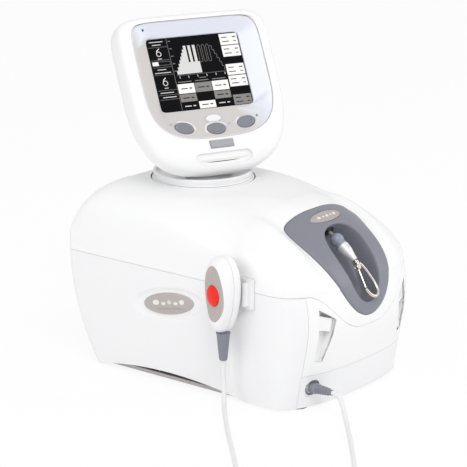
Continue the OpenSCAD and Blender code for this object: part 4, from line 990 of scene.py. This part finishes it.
def slope_h(v):
    return 1.2 + 8.8 * (-44 - np.asarray(v)) / 37


tools = [prism("t_key", turned(ellipse(11.85, 7.35, 64), x, y, a), -20, 40, head, SLATE) for x, y, a,
         _ in KEYS]
tools.append(prism("t_home", ellipse(9.85, 4.95, 64) + [0, -58], -20, 40, head, SLATE))
tools += [prism("t_led", ellipse(1.55, 1.55, 24) + list(p), -20, 40, head, SLATE) for p in LEDS]
cut(surround, tools, 32)
h0, hx, hy = head([(0, 0, 0)])[0], head([(1, 0, 0)])[0], head([(0, 1, 0)])[0]
# Painted reflection: cooler base colour on the surround's upper and right walls, chosen by which way they face.
painted_cool_reflection(FRAME_GREY, hx - h0, hy - h0, (0.70, 0.72, 0.80), (0.57, 0.545, 0.53))


def sloped(loop, h):
    return head(np.c_[loop, slope_h(loop[:, 1]) + h])


halos = []
for x, y, a, _ in KEYS:
    o, i = turned(ellipse(14.6, 9.8, 96), x, y, a), turned(ellipse(12.0, 7.5, 96), x, y, a)
    halos.append(ring_solid("halo", [sloped(i, -0.3), sloped(i, 0.25), sloped(o, 0.25), sloped(o, -0.3)],
                            HALO, loop=True))
keep(join("screen_surround_piece", [surround] + halos), "head", "screen_frame", "screen_bezel")

for x, y, a, node in KEYS:
    def kr(k, h, x=x, y=y, a=a):
        o = turned(ellipse(11.5 + k, 7 + k, 96), x, y, a)
        return head(np.c_[o, np.full(len(o), float(slope_h(y)) + h)])
    rings = [kr(-3.5, -8.0), kr(-3.5, -3.6), kr(0, -3.6), kr(0, 0.9), kr(-0.25, 1.5), kr(-0.8, 1.9),
             kr(-2.0, 2.08),
             kr(-4.5, 2.1), kr(-6.8, 2.1)]
    keep(ring_solid(node + "_cap", rings, SLATE_KEY, smooth_angle=40), node[4:] + "_key", "slate_plastic",
         node)


def hr(k, h):
    o = ellipse(9.5 + k, 4.6 + k * 0.8, 96) + [0, -58]
    return head(np.c_[o, np.full(len(o), float(slope_h(-58)) + h)])


home = ring_solid("home_cap", [hr(-3.5, -6.0), hr(-3.5, -3.6), hr(0, -3.6), hr(0, 1.0), hr(-0.25, 1.6),
                               hr(-0.8, 1.95),
                                hr(-2.5, 2.1), hr(-4.0, 2.1)], KEY_WHITE, smooth_angle=40)
keep(home, "home_key", "white_key", "key_home")

# ---------- screen image ----------
LCD_Z = -1.15
lcd = []


def block(x0, y0, x1, y1, mat, z=0.0):
    """A printed area of the screen, in mm from the window's upper left corner."""
    xa, xb, ya, yb = x0 - 58.5, x1 - 58.5, 44 - y0, 44 - y1
    o = [(xa, yb), (xb, yb), (xb, ya), (xa, ya)]
    lcd.append(prism("cell", o, LCD_Z - 0.25, LCD_Z + 0.02 + z, head, mat, 20))


def stroke(points, width, mat, z=0.06):
    p = np.asarray(points, float)
    for a, b in zip(p[:-1], p[1:]):
        d = (b - a) / np.linalg.norm(b - a)
        m = np.array([-d[1], d[0]]) * width / 2
        q = [a - m - d * width / 2, b - m + d * width / 2, b + m + d * width / 2, a + m - d * width / 2]
        q = [(x - 58.5, 44 - y) for x, y in q]
        if (q[1][0] - q[0][0]) * (q[2][1] - q[1][1]) - (q[1][1] - q[0][1]) * (q[2][0] - q[1][0]) < 0:
            q = q[::-1]
        lcd.append(prism("line", q, LCD_Z - 0.25, LCD_Z + 0.02 + z, head, mat, 20))


def arc(cx, cy, r, a0, a1, n=16):
    return [(cx + r * math.cos(math.radians(a0 + (a1 - a0) * i / n)),
             cy + r * math.sin(math.radians(a0 + (a1 - a0) * i / n)))
            for i in range(n + 1)]


block(0, 0, 117, 88, LCD_BLACK)
# left column: two readouts between captions, with a level bar
for y in (10, 25.5, 34, 43, 61.5, 67, 72.5):
    stroke([(2.5, y), (25.5, y)], 0.35, LCD_GREY)
stroke([(26.5, 1.5), (26.5, 86.5)], 0.45, LCD_GREY)
for y, x0, x1 in ((3.6, 5, 21), (7.2, 8, 18), (36.8, 8, 18), (40.6, 4, 23), (64.4, 5, 21), (69.8, 7, 23)):
    stroke([(x0, y), (x1, y)], 0.9, LCD_PALE)
for cy in (16.5, 51.5):
    stroke(arc(13.5, cy + 1.6, 2.7, 0, 360, 20), 0.9, LCD_WHITE)
    stroke([(10.9, cy + 1.2), (11.9, cy - 2.2), (14.7, cy - 4.6)], 0.9, LCD_WHITE)
    stroke([(11.5, cy + 7.4), (15.5, cy + 7.4)], 0.9, LCD_PALE)
block(3, 27.2, 10.5, 31.8, LCD_WHITE, 0.03)
stroke([(10.5, 27.4), (25, 27.4), (25, 31.6), (10.5, 31.6)], 0.35, LCD_GREY)
# middle: a stepped pull graph, its run part filled and its coming part in outline
for y in (4, 13, 22, 31, 40):
    stroke([(28.5, y), (30.5, y)], 0.9, LCD_GREY)
for i in range(7):
    block(31 + 2 * i, 40 - 4.1 * i, 33 + 2 * i, 44.5, LCD_PALE, 0.03)
block(45, 31, 62, 44.5, LCD_PALE, 0.03)
for x in (45, 50.6, 56.4):
    block(x, 11, x + 3.4, 31.2, LCD_PALE, 0.03)
for x in (62.6, 68.2, 73.8):
    stroke([(x, 31), (x, 13), (x + 1, 11.4), (x + 2.4, 11.4), (x + 3.4, 13), (x + 3.4, 31), (x + 2.2, 32),
            (x + 1.2, 32), (x, 31)],
           0.4, LCD_GREY)
stroke([p for i in range(6) for p in ((78.5 + 2.1 * i, 14 + 5 * i), (80.6 + 2.1 * i, 14 + 5 * i))] + [(91.1,
        44.5)], 0.45, LCD_GREY)
stroke([(30, 45.6), (92, 45.6)], 0.35, LCD_GREY)
for x in (33, 44, 55.5, 67, 78.5, 90):
    stroke([(x, 47), (x, 49)], 0.7, LCD_PALE)
stroke([(57, 50.4), (65, 50.4)], 0.7, LCD_GREY)
# middle, below: three headed columns of three cells
for x, row in ((27.5, (LCD_WHITE, LCD_GREY, LCD_BLACK)), (49, (LCD_GREY, LCD_BLACK, LCD_WHITE)),
               (70.5, (LCD_WHITE, LCD_GREY, LCD_BLACK))):
    stroke([(x + 2, 53.6), (x + 18, 53.6)], 0.9, LCD_GREY)
    for (y0, y1), mat in zip(((56, 67.4), (68.4, 77.4), (78.4, 87)), row):
        block(x, y0, x + 20.6, y1, mat, 0.02)
        if mat is LCD_BLACK and x == 49:
            continue
        ink = LCD_PALE if mat is LCD_BLACK else LCD_BLACK
        mid = (y0 + y1) / 2
        stroke([(x + 4, mid), (x + 11, mid)], 1.1, ink)
        stroke([(x + 14.5, mid), (x + 16.5, mid)], 1.3, ink)
# right column
for y0, y1, mat in ((1.2, 14.6, LCD_WHITE), (15.6, 28.8, LCD_WHITE), (38, 51, LCD_WHITE),
                    (52, 65, LCD_WHITE), (75, 87, LCD_GREY)):
    block(93, y0, 115.8, y1, mat, 0.02)
    mid = (y0 + y1) / 2
    stroke([(96, mid - 2.4), (102, mid - 2.4)], 1.0, LCD_BLACK)
    stroke([(96, mid + 2.6), (104, mid + 2.6)], 1.0, LCD_BLACK)
    stroke([(110, mid - 2.4), (113, mid - 2.4)], 1.2, LCD_BLACK)
    stroke([(110.5, mid + 2.6), (113, mid + 2.6)], 0.9, LCD_BLACK)
keep(join("screen_print", lcd), "head", "screen_black")


# ---------- CAD nodes that stay, with their looks ----------
LOOKS = {
    "base_plate": SHADED_PLATE, "rubber_feet": RUBBER, "base_screws": STEEL, "handle_cup": WHITE,
    "latch_tab_left": WHITE,
    "latch_tab_right": WHITE, "neck_base_ring": WHITE, "mast": STEEL, "chassis": ZINC, "gear_motor": BLACK,
    "power_supply": ZINC, "control_board": BOARD, "mains_inlet": BLACK, "power_rocker": BLACK,
    "switch_socket": FRAME_GREY,
    "rope_fairlead": BLACK, "rope_pulley": BLACK, "pulley_axle": STEEL, "rope_drum": BLACK,
    "drum_shaft": STEEL,
    "rope_inner_run": ROPE, "pull_rope": ROPE, "rope_bumper": BUMPER, "hook_ferrule": SILVER,
    "snap_hook": NICKEL,
    "hook_gate": NICKEL, "neck_collar": WHITE, "tilt_yoke": ZINC, "tilt_pin": STEEL, "tilt_knuckle": ZINC,
    "touch_glass": None, "lcd_panel": LCD_BLACK, "head_chassis": ZINC, "keypad_board": BOARD,
    "led_lenses": LENS,
    "card_tab": TAB_GREY, "switch_holder": WHITE, "hand_relief": SLATE, "switch_plug": SLATE,
}
GLASS = material("touch_glass_clear", (0.9, 0.93, 0.95), 0.1, alpha=0.02)
for m, value in ((GLASS, 0.1), (LCD_BLACK, 0.05), (RED, 0.25)):
    m.node_tree.nodes["Principled BSDF"].inputs["Specular IOR Level"].default_value = value
LOOKS["touch_glass"] = GLASS
BEVELS = {"handle_cup": 0.8, "latch_tab_left": 0.5, "latch_tab_right": 0.5, "neck_base_ring": 0.6,
          "card_tab": 0.4,
          "neck_collar": 0.7, "rubber_feet": 0.6, "mains_inlet": 0.4, "tilt_yoke": 0.5,
          "switch_holder": 0.8,
          "switch_socket": 0.4, "rope_fairlead": 0.3, "power_rocker": 0.3}


for node, mat in LOOKS.items():
    ob = bpy.data.objects.get(node)
    if ob is None:
        raise RuntimeError("no CAD object " + node)
    ob.data.materials.clear()
    ob.data.materials.append(mat)
    for p in ob.data.polygons:
        p.use_smooth = True
        p.material_index = 0
    bm = bmesh.new()
    bm.from_mesh(ob.data)
    for e in bm.edges:
        if len(e.link_faces) == 2:
            e.smooth = e.calc_face_angle(0) < math.radians(32)
    bm.to_mesh(ob.data)
    bm.free()
    if node == "led_lenses":
        ob.data.materials.append(BLUE)
        lamp = Vector(head([(-62, 53, 2)])[0]) * MM
        for p in ob.data.polygons:
            p.material_index = int((p.center - lamp).length < 0.008)
    if node in BEVELS:
        b = ob.modifiers.new("round", "BEVEL")
        b.width = BEVELS[node] * MM
        b.segments = 2
        b.limit_method = "ANGLE"
        b.angle_limit = math.radians(50)
        b.harden_normals = False

# ---------- hand switch ----------
HX, HY, HZ, TURN = -128.2, -60.0, 128.0, math.radians(-108)


def hand(p):
    p = np.atleast_2d(np.asarray(p, float))
    c, s = math.cos(TURN), math.sin(TURN)
    return np.stack([HX + p[:, 0] * c - p[:, 1] * s, HY + p[:, 0] * s + p[:, 1] * c, HZ + p[:, 2]], 1)


def pear(k, y, n=128):
    t = np.arange(n) * 2 * np.pi / n
    m = (1 + np.cos(t)) / 2
    return np.stack([(25 - 11 * (1 - m) ** 1.6) * k * signed_pow(np.sin(t), 0.92), np.full(n, -float(y)),
                     43 * (k + (1 - k) * 0.25) * signed_pow(np.cos(t), 0.96)], 1)


rings = [pear(0.2, 0.2), pear(0.999, 0.2)]
rings += spline_rings([pear(1.0, 0.6), pear(1, 3), pear(0.96, 7.5), pear(0.87, 11), pear(0.75, 12.8),
                       pear(0.70, 13.0)], 4)
rings += [pear(0.3, 13.0)]
front = ring_solid("hand_front_body", [hand(r) for r in rings], WHITE, smooth_angle=40)


def turn_y(p):
    return hand(np.stack([p[:, 0], -p[:, 2], p[:, 1]], 1))


cut(front, [prism("t_button", ellipse(11.9, 11.9, 96), 2.5, 40, turn_y, WHITE),
            prism("t_stem", ellipse(8.9, 8.9, 64), -1, 30, turn_y, WHITE),
            prism("t_relief", ellipse(5.02, 5.02, 48), -44, -36, hand, WHITE)], 40)
front.data.materials.clear()
front.data.materials.append(oval_face("hand_face", (HX * MM, HY * MM, (HZ + 2) * MM), TURN, 0.0185, 0.0315))
keep(front, "base", "shell_white", "hand_switch_front")
rings = [pear(0.2, -12), pear(0.60, -12)]
rings += spline_rings([pear(0.72, -11.9), pear(0.80, -11.2), pear(0.88, -10), pear(0.97, -6), pear(1, -2.5),
                       pear(0.999, -0.2)], 4)
rings += [pear(0.2, -0.2)]
rear = ring_solid("hand_rear_body", [hand(r) for r in rings], WHITE, smooth_angle=40)
cut(rear, [prism("t_relief", ellipse(5.02, 5.02, 48), -44, -36, hand, WHITE),
           prism("t_spring", ellipse(6, 6, 48), -6, 0.2, turn_y, WHITE)], 40)
keep(rear, "base", "shell_white", "hand_switch_rear")
profile = [(0.01, 2.4), (8.5, 2.4), (8.5, 6), (11.5, 6), (11.5, 13.4)]
profile += [(11.5 - 1.0 + math.cos(a) * 1.0,
             13.4 + 1.1 * math.sin(a)) for a in np.radians([15, 35, 55, 75])]
profile += [(10.2, 14.75), (8.5, 15.45), (6.9, 15.9), (4.5, 16.35), (2.2, 16.55), (0.01, 16.6)]
red = lathe("red_button", profile, RED, lambda p: hand(np.stack([p[:, 0], -p[:, 2], p[:, 1]], 1)), 96, 50)
keep(red, "button", "red_button", "hand_button")

# ---------- cord ----------
OUT = [(-128.2, -60, 53), (-128.2, -60, 42), (-128, -60.4, 31), (-129.2, -62, 20), (-133, -65, 11),
       (-140, -71, 5),
       (-150, -80, 3), (-170, -98, 2.8), (-200, -126, 2.8), (-235, -160, 2.8), (-268, -192, 2.8),
       (-300, -227, 2.8), (-330, -260, 2.8), (-350, -282.5, 2.8), (-358.9, -292.6, 2.8)]
BACK = [(-76, -170, 25), (-76, -174, 25), (-77.2, -179.5, 23.4), (-80, -185, 20), (-83.5, -189.5, 16),
        (-88, -195, 11.5), (-94, -201.5, 7.5), (-102, -209.5, 4.6), (-112.5, -218.8, 3),
        (-127, -231.6, 2.8),
        (-154, -254, 2.8), (-191, -284, 2.8), (-216, -299, 3.6), (-245, -315, 8), (-275, -331.7, 14),
        (-298, -344.5, 18.3), (-311.5, -351.9, 19.2)]
COIL = np.array([-330.0, -318.0])
CORD_D = 5.5
# The wound part turns counterclockwise from the floor up. Each change of radius or row has its own
# stretch of the turn, so that no stretch meets another.
IN_OUT = [(306, 38.5, 33), (666, 33, 27.5), (1298, 27.5, 33), (1658, 33, 38.5), (2290, 38.5, 33),
          (2650, 33, 27.5),
          (3282, 27.5, 33), (3642, 33, 38.5)]
RISES = [(982, 2.75, 8.25), (1974, 8.25, 13.75), (2966, 13.75, 19.25)]
STEP_TURN, WHOLE_TURN = 44, 3760      # degrees


def stepped(start, steps, turn):
    """A value that eases through each (turn, from, to) step."""
    for at, a, b in steps:
        t = min(1.0, max(0.0, (turn - at) / STEP_TURN))
        start += (b - a) * (1 - math.cos(math.pi * t)) / 2
    return start


def coil_points():
    start = math.atan2(25.4, -28.9)
    out = []
    for turn in np.linspace(0, WHOLE_TURN, 420):
        r, z = stepped(38.5, IN_OUT, turn), stepped(2.75, RISES, turn)
        ang = start + math.radians(turn)
        out.append((COIL[0] + r * math.cos(ang), COIL[1] + r * math.sin(ang), z))
    return out


line = np.concatenate([catmull(OUT, 5)[:-1], coil_points(), catmull(BACK[::-1], 5)[1:]])
curve = bpy.data.curves.new("switch_cord", "CURVE")
curve.dimensions = "3D"
curve.bevel_depth = CORD_D / 2 * MM
curve.bevel_resolution = 4
curve.use_fill_caps = True
sp = curve.splines.new("POLY")
sp.points.add(len(line) - 1)
for p, q in zip(sp.points, line):
    p.co = (*(float(c) * MM for c in q), 1)
curve.materials.append(CORD)
cord = bpy.data.objects.new("switch_cord", curve)
scene.collection.objects.link(cord)
keep(cord, "base", "cord_white", "switch_cord_out", "switch_cord_coil", "switch_cord_back")

# ---------- snap hook ----------
hp = catmull([(0.2, 4), (3, 5.2), (5.2, 7.5), (7.6, 14), (9, 22), (10, 30), (9.6, 38), (6.4, 43.5),
              (0.6, 45.6),
              (-4.8, 43), (-7.6, 38), (-8.2, 34.5)], 8)
parts = [tube("bar", on_hook(np.stack([hp[:, 0], np.zeros(len(hp)), hp[:, 1]], 1)), 1.9, NICKEL, 20)]
parts.append(lathe("eye", [(0.01, 1.3), (2.6, 1.3), (3.1, 1.8), (3.1, 4.5), (2.6, 5.0), (0.01, 5.0)],
                   NICKEL, on_hook, 48))


def side(p):
    return on_hook(np.stack([-2.3 + p[:, 0], p[:, 2], 8.6 + p[:, 1]], 1))


for a, b in ((-2.6, -1.3), (1.3, 2.6)):
    parts.append(lathe("cheek", [(0.01, a), (2.9, a), (3.2, a + 0.3), (3.2, b - 0.3), (2.9, b), (0.01, b)],
                       NICKEL, side, 48))
parts.append(rounded_box("link", (4.6, 5.2, 5.0), NICKEL, lambda p: on_hook(p + np.array([-0.3, 0, 5.2])),
                         0.8, 3))
parts.append(lathe("pin", [(0.01, -3.0), (0.8, -3.0), (0.8, 3.0), (0.01, 3.0)], STEEL, side, 24))
parts.append(lathe("swivel_pin", [(0.01, 37.0), (1.6, 37.0), (1.6, 47.4), (0.01, 47.4)], NICKEL, on_rope,
                   32))
keep(join("snap_hook_piece", parts), "hook", "nickel", "snap_hook")

# ---------- stage, light, camera ----------
FLOOR = material("floor_white", (0.93, 0.93, 0.93), 0.9)
nt = FLOOR.node_tree
glow = node_of(nt, "ShaderNodeEmission", None, ((1, 1, 1, 1), 1.0)).outputs[0]
seen = nt.nodes.new("ShaderNodeLightPath").outputs["Is Camera Ray"]
part = node_of(nt, "ShaderNodeMath", "MULTIPLY", (seen, 0.88)).outputs[0]
mix = node_of(nt, "ShaderNodeMixShader", None, (part, nt.nodes["Principled BSDF"].outputs[0], glow))
nt.links.new(mix.outputs[0], nt.nodes["Material Output"].inputs["Surface"])
me = bpy.data.meshes.new("floor")
me.from_pydata([(-9, -9, -0.0002), (9, -9, -0.0002), (9, 9, -0.0002), (-9, 9, -0.0002)], [], [(0, 1, 2, 3)])
me.materials.append(FLOOR)
floor = bpy.data.objects.new("floor", me)
scene.collection.objects.link(floor)
floor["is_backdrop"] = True

world = bpy.data.worlds.new("studio")
scene.world = world
world.use_nodes = True
nt = world.node_tree
ambient = nt.nodes["Background"]
ambient.inputs["Color"].default_value = (1, 1, 1, 1)
ambient.inputs["Strength"].default_value = 0.74
seen = nt.nodes.new("ShaderNodeLightPath").outputs["Is Camera Ray"]
white = node_of(nt, "ShaderNodeBackground", None, ((1, 1, 1, 1), 0.99)).outputs[0]
mix = node_of(nt, "ShaderNodeMixShader", None, (seen, ambient.outputs[0], white))
nt.links.new(mix.outputs[0], nt.nodes["World Output"].inputs["Surface"])


def area(name, pos, target, size, power):
    d = bpy.data.lights.new(name, "AREA")
    d.shape = "DISK"
    d.size = size
    d.energy = power
    o = bpy.data.objects.new(name, d)
    o.location = pos
    o.rotation_euler = (Vector(target) - Vector(pos)).to_track_quat("-Z", "Y").to_euler()
    scene.collection.objects.link(o)
    return o


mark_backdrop(area("key_light", (-1.3, -1.5, 2.3), (0, 0, 0.15), 1.4, 26),
         area("fill_light", (1.6, -1.9, 1.2), (0, -0.05, 0.15), 1.6, 12),
         area("side_light", (-2.2, 0.7, 1.0), (0, 0, 0.15), 1.4, 8))

cam = bpy.data.cameras.new("camera")
cam.lens = 177.3
cam.sensor_width = 36
cam.clip_end = 50
co = bpy.data.objects.new("camera", cam)
pos, aim = Vector((-1.9662, -1.5703, 0.8675)), Vector((-0.00542, 0.0255, 0.15402))
co.location = pos
co.rotation_euler = (aim - pos).to_track_quat("-Z", "Y").to_euler()
scene.collection.objects.link(co)
scene.camera = co
scene.view_settings.view_transform = "Standard"

visual_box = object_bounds()


def plain(value):
    if hasattr(value, "items"):
        return {k: plain(v) for k, v in value.items()}
    if isinstance(value, (list, tuple, Vector)):
        return [plain(v) for v in value]
    return float(value) if isinstance(value, (int, float)) else value


{"cad": plain(cad_box), "visual": plain(visual_box)}
